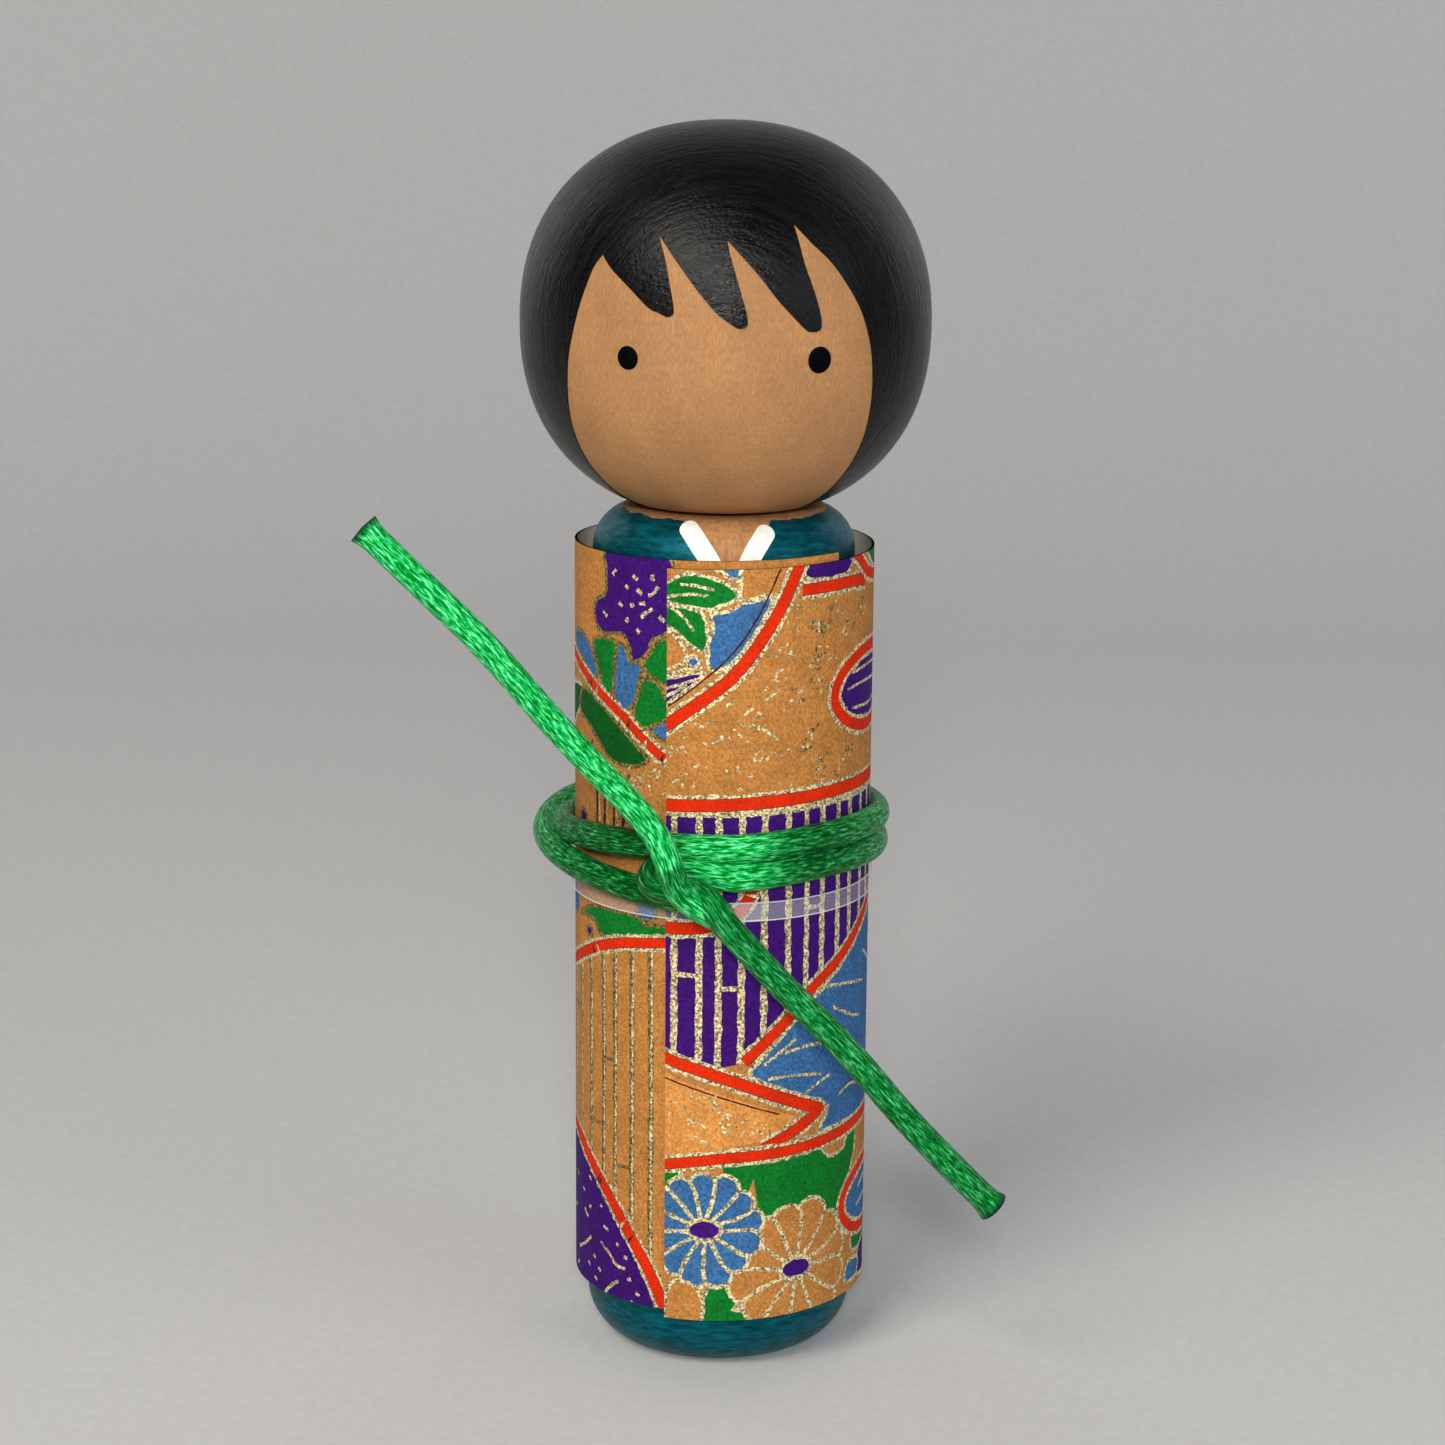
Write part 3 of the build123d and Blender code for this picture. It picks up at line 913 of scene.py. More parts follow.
def draw_side(sheet):
    """The part of the print that shows left of the sheet's free edge."""
    sheet.shift = SIDE_SHIFT
    sheet.edge_ink = "olive"
    sheet.fill("blue", [(-17.5, 57.8), (-14.6, 57.6), (-13.1, 56.2), (-12.4, 54.8), (-13.2, 54.4),
        (-15.5, 55.6), (-17.5, 56.3)])
    sheet.fill("purple", [(-11, 66), (-5, 66), (-4.2, 60), (-5, 59), (-6.3, 58.3), (-6.6, 57.3),
        (-8, 56.4), (-8.6, 57.8), (-9.4, 58.6), (-11.8, 58.4), (-12.9, 59.6), (-12.6, 61), (-11.3, 61.8),
        (-11.2, 63.5)])
    for dash in (
        [(-8.1, 63.6), (-7.6, 63.3)], [(-6.3, 63.8), (-6.1, 63.3)], [(-8.9, 62.7), (-8.6, 62.4)],
        [(-7.7, 62.5), (-7.2, 62.1)], [(-5.7, 62.9), (-6.2, 62.2), (-6.6, 62.1)],
        [(-9.6, 61.2), (-9.2, 60.9)], [(-8.4, 61.1), (-8, 61.2)], [(-7.5, 61.3), (-6.9, 61.4)],
        [(-8.8, 60), (-8.6, 59.6)], [(-7.3, 60.2), (-6.2, 61)], [(-7.7, 59.2), (-7.4, 58.9)],
        [(-10.4, 63.4), (-10.0, 63.9)], [(-11.6, 60.2), (-11.1, 59.8)], [(-5.6, 60.4), (-5.1, 60.0)],
    ):
        sheet.stroke("gold", 0.34, dash, 0.5)
    for mark in (
        ("green", [(-13, 57.7), (-10.1, 57.9), (-9.9, 56), (-10.4, 53.6), (-11.4, 53.4), (-12.1, 54.8),
            (-12.9, 56.4)]),
        ("blue", [(-9.9, 57.4), (-9, 57.6), (-8.6, 56.6), (-7.2, 56.2), (-7.5, 54.8), (-7.9, 53.0),
            (-9.2, 52.2), (-10.2, 53.4)]),
        ("blue", [(-4.6, 51.8), (-5.9, 51.5), (-6.2, 50.7), (-4.6, 50)]),
        ("green", [(-6.9, 55.2), (-5.7, 54.8), (-4.8, 53.4), (-4.6, 52.2), (-6.7, 51.0), (-8.0, 51.8),
            (-7.7, 53.4), (-7.3, 54.6)]),
        ("green", [(-4.4, 58.4), (-5.6, 58.4), (-6.4, 57.4), (-7.0, 56.4), (-6.7, 55.6), (-5.9, 55.1),
            (-4.4, 55.1)]),
        ("dark green", [(-16, 52.2), (-15, 53.2), (-12.5, 52.5), (-9.5, 50.8), (-7, 48.8), (-6.6, 48.2),
            (-8, 47.6), (-10.5, 47.8), (-13.5, 50), (-15.8, 50.9)]),
    ):
        sheet.fill(*mark)
    for across in (-12.6, -11.5, -10.3, -9.2):
        sheet.stroke("brown", 0.28, [(across, 41.8), (across + 0.1, 43.5), (across, 45.6)], 0.5)
        sheet.stroke("gold", 0.2, [(across + 0.5, 42.2), (across + 0.4, 44), (across + 0.5, 45.2)], 0.4)
    sheet.flecks("gold", (-9, 44.8, -4.8, 47.4), 16, 0.9, 0.22, 1.2)
    sheet.flecks("olive", (-12.5, 41.5, -5.5, 47.4), 14, 0.8, 0.25, 1.4)
    for mark in (
        ("purple", [(-15.9, 41), (-14.6, 41.2), (-14.5, 42.4), (-15.6, 42.6)]),
        ("purple", [(-12.8, 40.6), (-11.6, 40.8), (-11.6, 41.8), (-12.6, 41.9)]),
        ("blue", [(-7.6, 34.6), (-5.9, 34.8), (-5.9, 36.2), (-7.4, 36)]),
        ("green", [(-16, 33.2), (-14.5, 34.2), (-12.5, 34.8), (-8, 34.9), (-6.8, 34.3), (-4.5, 34.2),
            (-4.5, 33), (-8.5, 32.6), (-11.7, 32.3), (-13, 33.4), (-15, 33.5)]),
        ("purple", [(-14.5, 32.3), (-13.8, 31.8), (-13.2, 32.3), (-13.8, 32.8)]),
        ("blue", [(-19.5, 33), (-17, 33.2), (-16.4, 34.4), (-17.6, 35.6), (-19.5, 35.4)]),
    ):
        sheet.fill(*mark)
    sheet.shift = (0.0, 0.0)
    for across in SIDE_BARS:
        low, high = height_on(SIDE_SLANT, across), height_on(SIDE_BAND, across)
        sheet.stroke("olive", 0.52, [(across, low), (across + 0.08, (low + high) / 2), (across, high)],
            0.3)
        sheet.stroke("gold", 0.2, [(across + 0.1, low), (across + 0.18, high)], 0.8)
    for left, right, height in (
        (67.6, 69.1, 21.2), (65.6, 67.6, 15.2), (69.4, 70.8, 12.0), (61.6, 63.6, 24.6),
    ):
        sheet.stroke("olive", 0.36, [(left, height), (right, height)], 0.3)
    sheet.shift = SIDE_SHIFT
    sheet.fill("purple", [(-32, -2), (-28, 6.7), (-23, 11.4), (-19, 13.9), (-16, 13.3), (-14, 12.1),
        (-12, 10.6), (-10, 8.6), (-8, 6.1), (-6.5, 3.9), (-5.3, 1.6), (-4.2, -2)], outline=False)
    for dash in (
        [(-14, 10.3), (-13.6, 10)], [(-12.1, 8.3), (-11.8, 8.1)], [(-15.4, 8.8), (-15, 8.6)],
        [(-14, 7.6), (-13.6, 7.5)], [(-15, 7), (-14.2, 6.5)], [(-11.6, 6.5), (-10.9, 6.2)],
        [(-12, 4.9), (-11.3, 4.5), (-10.6, 4.1), (-9.9, 3.4), (-8.8, 3.3)], [(-9.9, 5.3), (-9.6, 5.2)],
        [(-9, 4.4), (-8.6, 4.3)], [(-16.5, 3), (-14.8, 3.9), (-13.6, 4.9)], [(-13.2, 3.4), (-12.8, 3.2)],
        [(-12.4, 2.4), (-12, 2.2)], [(-14.2, 2.4), (-13.8, 2.2)], [(-13, 1.4), (-12.6, 1.2)],
        [(-11.5, 0.3), (-10.6, 1.3), (-9.6, 2)], [(-8.6, 2.4), (-8.2, 2.5)], [(-8.2, 0.6), (-7.9, 0.4)],
        [(-7.7, 1.4), (-7.3, 1.2)], [(-17.4, 9.8), (-16.9, 9.4)], [(-18.2, 6.2), (-17.6, 6.6)],
        [(-17.2, 1.2), (-16.6, 1.6)], [(-19.6, 9.2), (-19, 8.8)], [(-20.4, 4.2), (-19.6, 4.8)],
    ):
        sheet.stroke("gold", 0.28, dash, 0.3)
    sheet.shift = (0.0, 0.0)
    sheet.edge_ink = "gold"


def draw_front(sheet):
    """The part of the print that shows on the outer turn, from the free edge to the right side."""
    sheet.fill("purple", [(-5.2, 44.2), (-5.2, 23.3), (-1, 22.3), *FRONT_SLANT, (31, 45.4)],
        outline=False, smooth=False)
    for across in FRONT_BARS:
        low = height_on([(-5, 23.2), (-1, 22.2), *FRONT_SLANT], across)
        sheet.stroke("gold", 0.58, [(across, low), (across + 0.05, low + 5), (across, 44.6)], 0.25)
    sheet.stroke("gold", 0.5, [(7.3, 44.4), (7.3, 42.9)], 0.25)
    sheet.stroke("gold", 0.5, [(7.4, 41.6), (7.4, 28.4)], 0.25)
    for left, right, height in (
        (-3.9, -1.9, 30.5), (-0.2, 1.4, 29.4), (7.3, 9, 35.7), (8.9, 10.9, 42.1), (14.6, 16.4, 38.4),
        (20, 21.8, 41),
    ):
        sheet.stroke("gold", 0.42, [(left, height), (right, height)], 0.3)
    sheet.stroke("gold", 0.4, [(-5, 44.2), (6, 44.3), (19, 44.5), (31, 45.0)], 0.3)
    sheet.fill("blue", [(2.5, 22.2), (6.3, 26), (8.3, 27.8), (15, 32.2), (20, 35), (26, 38.6), (30, 42.6),
        (36, 44.8), (35.5, 38), (34.5, 30), (33, 18.5), (19.6, 16.2), (15, 15.8), (9, 15.8), (10.2, 17.8),
        (5, 20.4), (2.4, 21.6)], smooth=False)
    for line in (
        [(3.5, 22.5), (6.5, 24.5)], [(4, 21.3), (6.5, 21.3), (9.2, 20.9)],
        [(5.5, 23.4), (7.5, 23.7), (9.5, 23.6)], [(7.5, 19.5), (9, 20.2), (10.3, 20.6)],
        [(9, 28.6), (13, 28), (16, 27.4)], [(10.5, 26.5), (13.5, 25), (15, 24.6)],
        [(16, 30), (19, 28.4), (22, 27.8)], [(18, 24), (21, 23.4), (24, 23.8)],
        [(14, 21.6), (17, 20.4), (20, 20.2)], [(20, 32.6), (24, 31.4), (27.5, 31.6)],
        [(24, 27.6), (28, 26.6), (31, 27)], [(26, 35.6), (29.5, 34.8), (33, 35.2)],
        [(11.4, 18.4), (13, 18.9), (15, 18.6)], [(22.5, 19.4), (26, 19.9), (30, 21)],
    ):
        sheet.stroke("gold", 0.28, line, 0.35)
    sheet.fill("sand", [(-5.2, 22), (0, 20.2), (5.5, 18.1), (7.4, 17.3), (5, 16.2), (0, 15.3),
        (-5.2, 14.5)], outline=False, smooth=False)
    sheet.stroke("brown", 0.14, [(-5, 21.5), (0, 19.9), (5, 18.1)], 0.3)
    sheet.flecks("gold", (-4.4, 15.6, 1.6, 20.0), 22, 0.8, 0.2, 0.3, 1.2)
    sheet.flecks("gold", (1.6, 16.4, 4.6, 18.4), 9, 0.7, 0.2, 0.3, 1.2)
    sheet.fill("green", [(-5.4, 13.6), (-3.4, 13.6), (-3.0, 11), (-5.4, 9)], smooth=False)
    sheet.fill("green", [(0.2, 13.9), (3.4, 14.1), (2.2, 11), (0.8, 9)], outline=False, smooth=False)
    sheet.fill("green", [(2.6, 14.1), (9.5, 14.3), (14.4, 14.7), (14.6, 13), (13.4, 10.5), (12.4, 8),
        (7, 5), (3.6, 7.5)], outline=False, smooth=False)
    sheet.stroke("gold", 0.34, [(14.5, 14.8), (14.5, 13), (13.4, 10.6), (12.4, 8.6)], 0.35)
    for mark in (
        ("tan", [(9.6, 14.6), (10, 13.5), (11.2, 13.2), (12.4, 13.6), (12.7, 14.7)]),
        ("green", [(14.3, 3.4), (16, 3.2), (18.5, 3.6), (18.2, 5), (16, 5.4), (14.2, 4.8)]),
        ("purple", [(15.5, 0.8), (19.5, 0.4), (20.5, 2.6), (18.4, 3.6), (16, 3)]),
        ("blue", [(13, 1), (15.4, 0.8), (15.9, 2.2), (13.6, 2.6)]),
        ("green", [(-1.5, -0.6), (-0.9, 3), (1.2, 3.1), (2.2, 2), (1.2, 1), (3, 0.8), (3.1, -0.6)]),
    ):
        sheet.fill(*mark)
    sheet.flower("tan", (6.8, 4.05), 6.1, 12, 1.5, 0.2)
    sheet.flower("blue", (-1.3, 8.15), 5.1, 13, 1.45, 0.17)
    sheet.fill("tan", [(-4.5, -0.8), (-4.5, 2.2), (-3.9, 3.4), (-2.4, 3.3), (-1.5, 2.2), (-1.4, 0.6),
        (-2.2, -0.8)])
    sheet.ring("red", (17.5, 8), (5.3, 3.0), 0.9, "blue")
    sheet.stroke("gold", 0.3, [(15.5, 8.8), (17.6, 9.2), (20, 8.6)], 0.3)
    sheet.stroke("gold", 0.3, [(15.2, 7.2), (17.4, 7.5), (19.8, 7)], 0.3)
    sheet.fill("blue", [(-1, 61), (0.5, 61.3), (1.5, 61.9), (3.8, 62.4), (3.2, 60.4), (1.4, 57.8),
        (-0.2, 56.4), (-1.2, 56.6), (-1.3, 58.5), (-0.9, 59.8)])
    sheet.fill("blue", [(-1.2, 65.2), (1, 65.2), (1.2, 63.9), (0.3, 64.1)])
    sheet.stroke("gold", 0.34, [(1.3, 65), (1.3, 63.2), (1.4, 62.1), (3.4, 62.2), (4.6, 62.6)], 0.35)
    sheet.stroke("gold", 0.3, [(-5, 59.5), (-4.2, 59.3), (-3.3, 58.2), (-3.2, 57), (-5, 56.2)], 0.35)
    sheet.fill("blue", [(-3.1, 57), (-2.5, 56.5), (-1.9, 57), (-2.5, 57.5)])
    sheet.fill("purple", [(-5.4, 55.3), (-3.6, 55.8), (-1.6, 56.2), (-2.6, 55), (-4, 53.9), (-5.4, 52.9)])
    for points in (
        [(-5, 54.6), (-3.6, 55.1), (-2.2, 55.6)],
        [(-5, 53.9), (-3.9, 54.5), (-3, 55.1)],
        [(-5, 55.8), (-3.4, 56.3), (-1.5, 56.7)],
    ):
        sheet.stroke("gold", 0.26, points, 0.3)
    sheet.fill("green", [(-5.2, 63.1), (-2.9, 64.3), (0, 63.6), (1.1, 62.5), (-0.4, 61.6), (-1.5, 61.4),
        (-5.2, 62)])
    sheet.fill("green", [(-5.3, 61.5), (-2.1, 61.3), (-1.3, 59.6), (-1.5, 58), (-2.5, 58.2), (-4.2, 59.6),
        (-5.3, 60.2)])
    for points in (
        [(-4.8, 62.3), (-3, 62.6), (-1.3, 62.5)],
        [(-4.6, 61.6), (-3.4, 60.8), (-2.5, 59.6)],
        [(-3.6, 63.4), (-2.2, 63.3), (-0.8, 63)],
    ):
        sheet.stroke("gold", 0.26, points, 0.3)
    for dash in (
        [(3.4, 53.8), (4.6, 54.6)], [(1.6, 52.6), (2.4, 53.2)], [(2, 51.8), (3.2, 51.4), (4.5, 50.4)],
        [(3, 48.7), (3.4, 49.1)], [(2, 47.4), (2.4, 47.6)], [(1.2, 46.3), (1.6, 46.5)],
        [(-3.8, 49.6), (-3.2, 50)], [(-2.4, 48.2), (-1.9, 48.5)], [(-0.6, 50.4), (0, 50.9)],
        [(-1.4, 51.8), (-0.8, 52.2)], [(0.2, 53.4), (0.8, 53.8)], [(5.2, 57.2), (5.7, 57.7)],
        [(4.4, 56), (4.9, 56.3)], [(-4.2, 46.9), (-3.5, 47.1)],
    ):
        sheet.stroke("gold", 0.24, dash, 0.35)
    sheet.flecks("gold", (-4.4, 46.4, 6, 52.2), 34, 0.45, 0.2, 0.6, 1.4)
    sheet.flecks("gold", (2.6, 52, 12, 61.4), 40, 0.5, 0.2, 0.6, 1.4)
    for place in (
        (8, 59.5), (9, 59.2), (7.5, 56.5), (8.5, 57.4), (8.2, 54.6), (7.5, 50.4), (9, 48.1), (7, 49.4),
        (8.6, 46.9), (11, 47), (12, 48.4), (12.2, 59), (10.2, 60.3), (6.2, 54), (14.4, 60.2), (15.6, 48),
    ):
        box = (place[0] - 0.8, place[1] - 0.7, place[0] + 0.8, place[1] + 0.7)
        sheet.flecks("olive", box, 5, 0.5, 0.26, 0.8, 1.5)
        sheet.flecks("gold", box, 3, 0.35, 0.22, 0.8, 1.5)
    sheet.fill("purple", [(7.2, 63.5), (11.6, 63.5), (12.2, 65.4), (7, 65.4)])
    sheet.flecks("olive", (6.4, 63.0, 11.6, 63.4), 14, 0.35, 0.22, 1.5, 0.3)
    sheet.fill("green", [(14.6, 65.4), (15.2, 64.6), (18, 63), (22, 62.6), (23.5, 65.4)])
    sheet.ring("red", (16.2, 53.3), (6.0, 3.3), 1.0, "purple")
    for line in (
        [(11.9, 53.6), (15, 53.8), (20, 53.5)], [(12.6, 54.9), (16, 55.1), (19.6, 54.8)],
        [(12.7, 51.9), (16, 51.7), (19.6, 52)],
    ):
        sheet.stroke("gold", 0.26, line, 0.3)
    for mark in (
        (0.9, [(6.6, 62.65), (10, 62.7), (12.6, 62.65), (14.8, 62.4)]),
        (0.8, [(12.4, 65.2), (13.6, 64.4), (14.8, 63.4), (16, 62.8), (19, 62.2), (23, 61.6), (27, 62.4),
            (30, 65)]),
        (0.95, [(-5.2, 51.3), (-3.1, 52.8), (-1.1, 54.3), (0.4, 55.5), (1.8, 57.05), (3.3, 59.15),
            (4.7, 61.4), (5.6, 63.2), (6.6, 65.4)]),
    ):
        sheet.band(*mark)
    sheet.stroke("brown", 0.16, [(-4.6, 53.2), (-1.8, 55.4), (0.9, 58), (3, 61.2), (4.6, 64.6)], 0.3)


def draw_back(sheet):
    """The part of the print round the back, in the same manner as the front."""
    sheet.fill("purple", [(36, 45), (38, 46.6), (50, 51), (56, 53.6), (57.4, 28), (50, 26), (40, 22),
        (33, 19), (34.5, 30), (35.5, 38)], smooth=False)
    for across in BACK_BARS:
        low, high = height_on(LOWER_BAND, across), height_on(UPPER_BAND, across)
        sheet.stroke("gold", 0.5, [(across, low), (across + 0.06, (low + high) / 2), (across, high)],
            0.25)
    for left, right, height in ((37, 38.8, 33), (42.5, 44.3, 40.6), (46.2, 48, 31.4), (49.8, 51.7, 44)):
        sheet.stroke("gold", 0.42, [(left, height), (right, height)], 0.3)
    sheet.fill("green", [(19.5, 14.6), (30, 16.4), (40, 20), (50, 24), (57, 26), (52, 12), (46, 5),
        (43, -1), (20, -1), (22.6, 5)], outline=False, smooth=False)
    for mark in (
        ("blue", (27.4, 8.6), 5.6, 13, 1.6, 0.4),
        ("tan", (38.2, 5.2), 5.9, 12, 1.5, 0.1),
        ("blue", (40.6, 16), 4.4, 11, 1.3, 0.6),
        ("tan", (49.4, 17.4), 4.6, 12, 1.4, 0.3),
        ("purple", (28, 57.2), 4.6, 9, 1.2, 0.2),
        ("blue", (38.6, 58), 5.0, 12, 1.4, 0.5),
    ):
        sheet.flower(*mark)
    for mark in (
        ("green", [(30.4, 52.2), (33.4, 54.4), (35.8, 53.2), (34.2, 50.8), (31.4, 49.8)]),
        ("green", [(43.4, 60.6), (46.6, 63.2), (49.2, 62), (47.6, 59.4), (44.6, 58.4)]),
        ("dark green", [(46, 55.2), (50, 56.8), (54.6, 57.6), (52, 54.6), (48, 52.8)]),
    ):
        sheet.fill(*mark)
    sheet.ring("red", (53.6, 61), (4.6, 2.6), 0.9, "purple")
    sheet.flecks("gold", (22.6, 46.6, 36, 52), 40, 0.5, 0.22, 0.6, 1.4)
    sheet.flecks("olive", (22.6, 46.6, 44, 53), 26, 0.6, 0.26, 0.8, 1.5)
    sheet.fill("dark green", [(57.6, 50.4), (61, 52.6), (64.4, 52.4), (61.6, 49.6), (58, 47.6)])
    sheet.flecks("gold", (57.8, 36, 66, 47), 26, 0.6, 0.22, 1.2, 0.8)
    sheet.flecks("olive", (57.8, 36, 66, 50), 22, 0.8, 0.25, 1.4, 0.5)


def draw_print(gold_width):
    """All marks of the print on a tan ground."""
    sheet = Print(gold_width)
    corners = [(SHEET_LEFT, 0), (SHEET_RIGHT, 0), (SHEET_RIGHT, SHEET_HEIGHT), (SHEET_LEFT, SHEET_HEIGHT)]
    sheet.marks.append(("tan", corners))
    draw_back(sheet)
    draw_side(sheet)
    draw_front(sheet)
    for mark in (
        (1.0, UPPER_BAND),
        (1.0, SIDE_SLANT),
        (0.7, UPPER_SLANT),
        (0.8, SIDE_BAND),
        (0.95, [(-5.2, 34.45), (-1.8, 34.6), (0.2, 35.2), (1.6, 36.2), (2.4, 37.6), (2.8, 39.5)]),
        (0.85, FRONT_SLANT),
    ):
        sheet.band(*mark)
    sheet.band(0.95, [(-5.2, 23.3), (-1, 22), (2, 20.9), (5, 19.6), (7.3, 18.6), (9.2, 17.8), (7.4, 16.9),
        (5.6, 16), (3.6, 15.2)], smooth=False)
    sheet.band(0.85, LOWER_BAND)
    return sheet.marks


def rolled(along, height, lift):
    """A point of the sheet when rolled up, lift above its middle, and its outward direction."""
    turned = (along - SHEET_LEFT) / SHEET_LENGTH * SHEET_TURNED
    angle = SHEET_START_ANGLE + turned
    radius = SHEET_MIDDLE_RADIUS - SHEET_STEP_IN * turned / 360 + lift
    up = SHEET_BOTTOM + height + SHEET_RISE * turned / 360
    return Vector(around(angle, radius, up)), Vector(around(angle, 1.0, 0.0))


def cut_sheet(marks, spacing):
    """Cuts the sheet along the outlines of its marks: its flat points, triangles and their inks."""
    points, outlines = [], []
    for _, outline in marks:
        outlines.append(list(range(len(points), len(points) + len(outline))))
        points.extend(Vector(p) for p in outline)
    # a grid of points between the marks, those off the rim moved a little so that no row shows
    chance = Random(5)
    across = int(SHEET_LENGTH / spacing)
    up = int(SHEET_HEIGHT / spacing)
    for column in range(across + 1):
        x = SHEET_LEFT + SHEET_LENGTH * column / across
        for row in range(up + 1):
            y = SHEET_HEIGHT * row / up
            inner = 0 < column < across and 0 < row < up
            drift = spacing * 0.12 if inner else 0.0
            points.append(Vector((x + chance.uniform(-drift, drift), y + chance.uniform(-drift, drift))))
    flat, _, triangles, _, _, owners = delaunay_2d_cdt(points, [], outlines, 1, 1e-5, True)
    covered = [0.0] * len(marks)
    for triangle, owner in zip(triangles, owners):
        size = area_of([flat[corner] for corner in triangle])
        for mark in owner:
            covered[mark] += abs(size)
    # a sliver of a mark whose sides fell together would claim the whole sheet, so it is passed over
    whole = [covered[k] < 2 * abs(area_of(marks[k][1])) + 5 for k in range(len(marks))]
    kept, inks = [], []
    for triangle, owner in zip(triangles, owners):
        if 0 in owner:
            top = max(mark for mark in owner if mark == 0 or whole[mark])
            kept.append(tuple(triangle))
            inks.append(INKS.index(marks[top][0]))
    return *only_used(flat, kept), inks


def back_of_sheet(flat, rim, spacing):
    """A plainer set of triangles for the sheet's back, with the same rim."""
    numbers = sorted({corner for edge in rim for corner in edge})
    place = {old: new for new, old in enumerate(numbers)}
    points = [flat[old] for old in numbers]
    across = int(SHEET_LENGTH / spacing)
    up = int(SHEET_HEIGHT / spacing)
    for column in range(1, across):
        for row in range(1, up):
            x = SHEET_LEFT + SHEET_LENGTH * column / across
            points.append(Vector((x, SHEET_HEIGHT * row / up)))
    edges = [(place[a], place[b]) for a, b in rim]
    found, _, triangles, owners, _, _ = delaunay_2d_cdt(points, edges, [], 1, 1e-6, True)
    original = {}
    for index, owner in enumerate(owners):
        for old in owner:
            if old < len(numbers):
                original[index] = numbers[old]
    return found, triangles, original


class DOLL_OT_kimono(bpy.types.Operator):
    """Prints the washi paper and rolls it round the body"""

    bl_idname = "doll.kimono"
    bl_label = "Paper kimono"

    def execute(self, context):
        sizes, colours = context.scene.doll_sizes, context.scene.doll_colours
        flat, triangles, inks = cut_sheet(draw_print(sizes.gold_width / MM), FRONT_SPACING)
        half = PAPER_THICKNESS / 2
        points, directions, faces, face_inks, normals = [], [], [], [], []
        for p in flat:
            place, outward = rolled(p.x, p.y, half)
            points.append(place)
            directions.append(outward)
        for triangle, ink in zip(triangles, inks):
            faces.append(triangle)
            face_inks.append(ink)
            normals.extend(directions[corner] for corner in triangle)
        rim = rim_of(triangles)
        found, back, original = back_of_sheet(flat, rim, BACK_SPACING)
        first_back = len(points)
        under_rim = {}
        for index, p in enumerate(found):
            place, outward = rolled(p.x, p.y, -half)
            if index in original:
                under_rim[original[index]] = len(points)
            points.append(place)
            directions.append(outward)
        paper_back = len(INKS)
        for triangle in back:
            corners = tuple(first_back + c for c in reversed(triangle))
            faces.append(corners)
            face_inks.append(paper_back)
            normals.extend(-directions[corner] for corner in corners)
        for a, b in rim:
            corners = (b, a, under_rim[a], under_rim[b])
            side = (points[a] - points[b]).cross(directions[a]).normalized()
            faces.append(corners)
            face_inks.append(paper_back)
            normals.extend([side] * 4)
        # each printed ink: its name, colour, shade and speckle
        printed = (
            ("tan washi paper", colours.paper, 1, 0.22),
            ("sand washi paper", colours.paper, 1.35, 0.22),
            ("purple ink on washi", colours.purple, 1, 0.3),
            ("green ink on washi", colours.green, 1, 0.25),
            ("dark green ink on washi", colours.green, 0.55, 0.25),
            ("blue ink on washi", colours.blue, 1, 0.3),
            ("red ink on washi", colours.red, 1, 0.14),
        )
        materials = [washi_ink(name, shade(tint, factor), specks) for name, tint, factor, specks in printed]
        materials.append(gold_ink("gold ink on washi", tuple(colours.gold)))
        # a darker gold for the olive marks: the side's outlines and bars, and olive flecks
        materials.append(gold_ink("dark gold ink", linear("8E7436")))
        materials.append(washi_ink("brown ink on washi", linear("4A1E1C"), 0.2))
        materials.append(washi_ink("back of the washi paper", linear("D9CDBA"), 0.1))
        kimono = make_piece("kimono", points, faces, normals, materials, face_inks)
        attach(kimono, "doll")
        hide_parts("kimono_wrap")
        return {"FINISHED"}


# --- hair, face and collar ------------------------------------------------------------------
# The face's outline on the head: angle from the front towards +X, and angle down from the crown.
LEFT_CHEEK = [
    (-37.5, 68), (-39.8, 71.5), (-41.5, 76.5), (-44.7, 86.5), (-47.5, 96), (-49.2, 104), (-51.7, 115),
    (-53.6, 125.5), (-55.6, 136), (-58.6, 146.5), (-61, 156),
]
CHIN = [(-61, 165), (-30, 165), (0, 165), (30, 165), (53.5, 165)]
RIGHT_CHEEK = [
    (53.5, 156), (50.6, 146), (48.2, 134), (47, 120), (45.7, 110.5), (44.3, 101), (42.6, 92),
    (39.7, 83.5), (35.5, 76), (31, 69.5), (25.6, 64), (20.9, 58.5),
]
FRINGE_RIGHT = [
    (20.9, 58.5), (21.6, 64), (22.6, 70.5), (25.1, 79), (26.3, 84.5), (25.9, 86.9), (23.6, 87.4),
    (21, 86.2), (14.5, 79.4), (7.8, 71), (3.2, 66), (0.3, 63),
]
FRINGE_MIDDLE = [
    (0.3, 63), (1, 66.5), (2.2, 70.7), (4.2, 77.6), (5.8, 83.4), (5.5, 85.7), (3.6, 86.2), (1.6, 85.2),
    (-2.7, 82), (-8.1, 75.9), (-13.2, 69.8), (-17, 65.4), (-20.1, 62),
]
FRINGE_LEFT = [
    (-20.1, 62), (-18.8, 65), (-17.2, 68.7), (-15.3, 75.2), (-14.0, 81), (-14.2, 83), (-15.8, 83.5),
    (-18, 82.5), (-21, 81.3), (-26, 77.2), (-31.8, 72.9), (-35, 70.4), (-37.5, 68),
]


# spacing of points along the face's outline and over the hair, in degrees
FACE_STEP, HAIR_STEP = 1.4, 3.6
HAIR_RIM_COUNT = 180
# how far a film of paint reaches into the wood under it, in mm
PAINT_SINK = 0.05
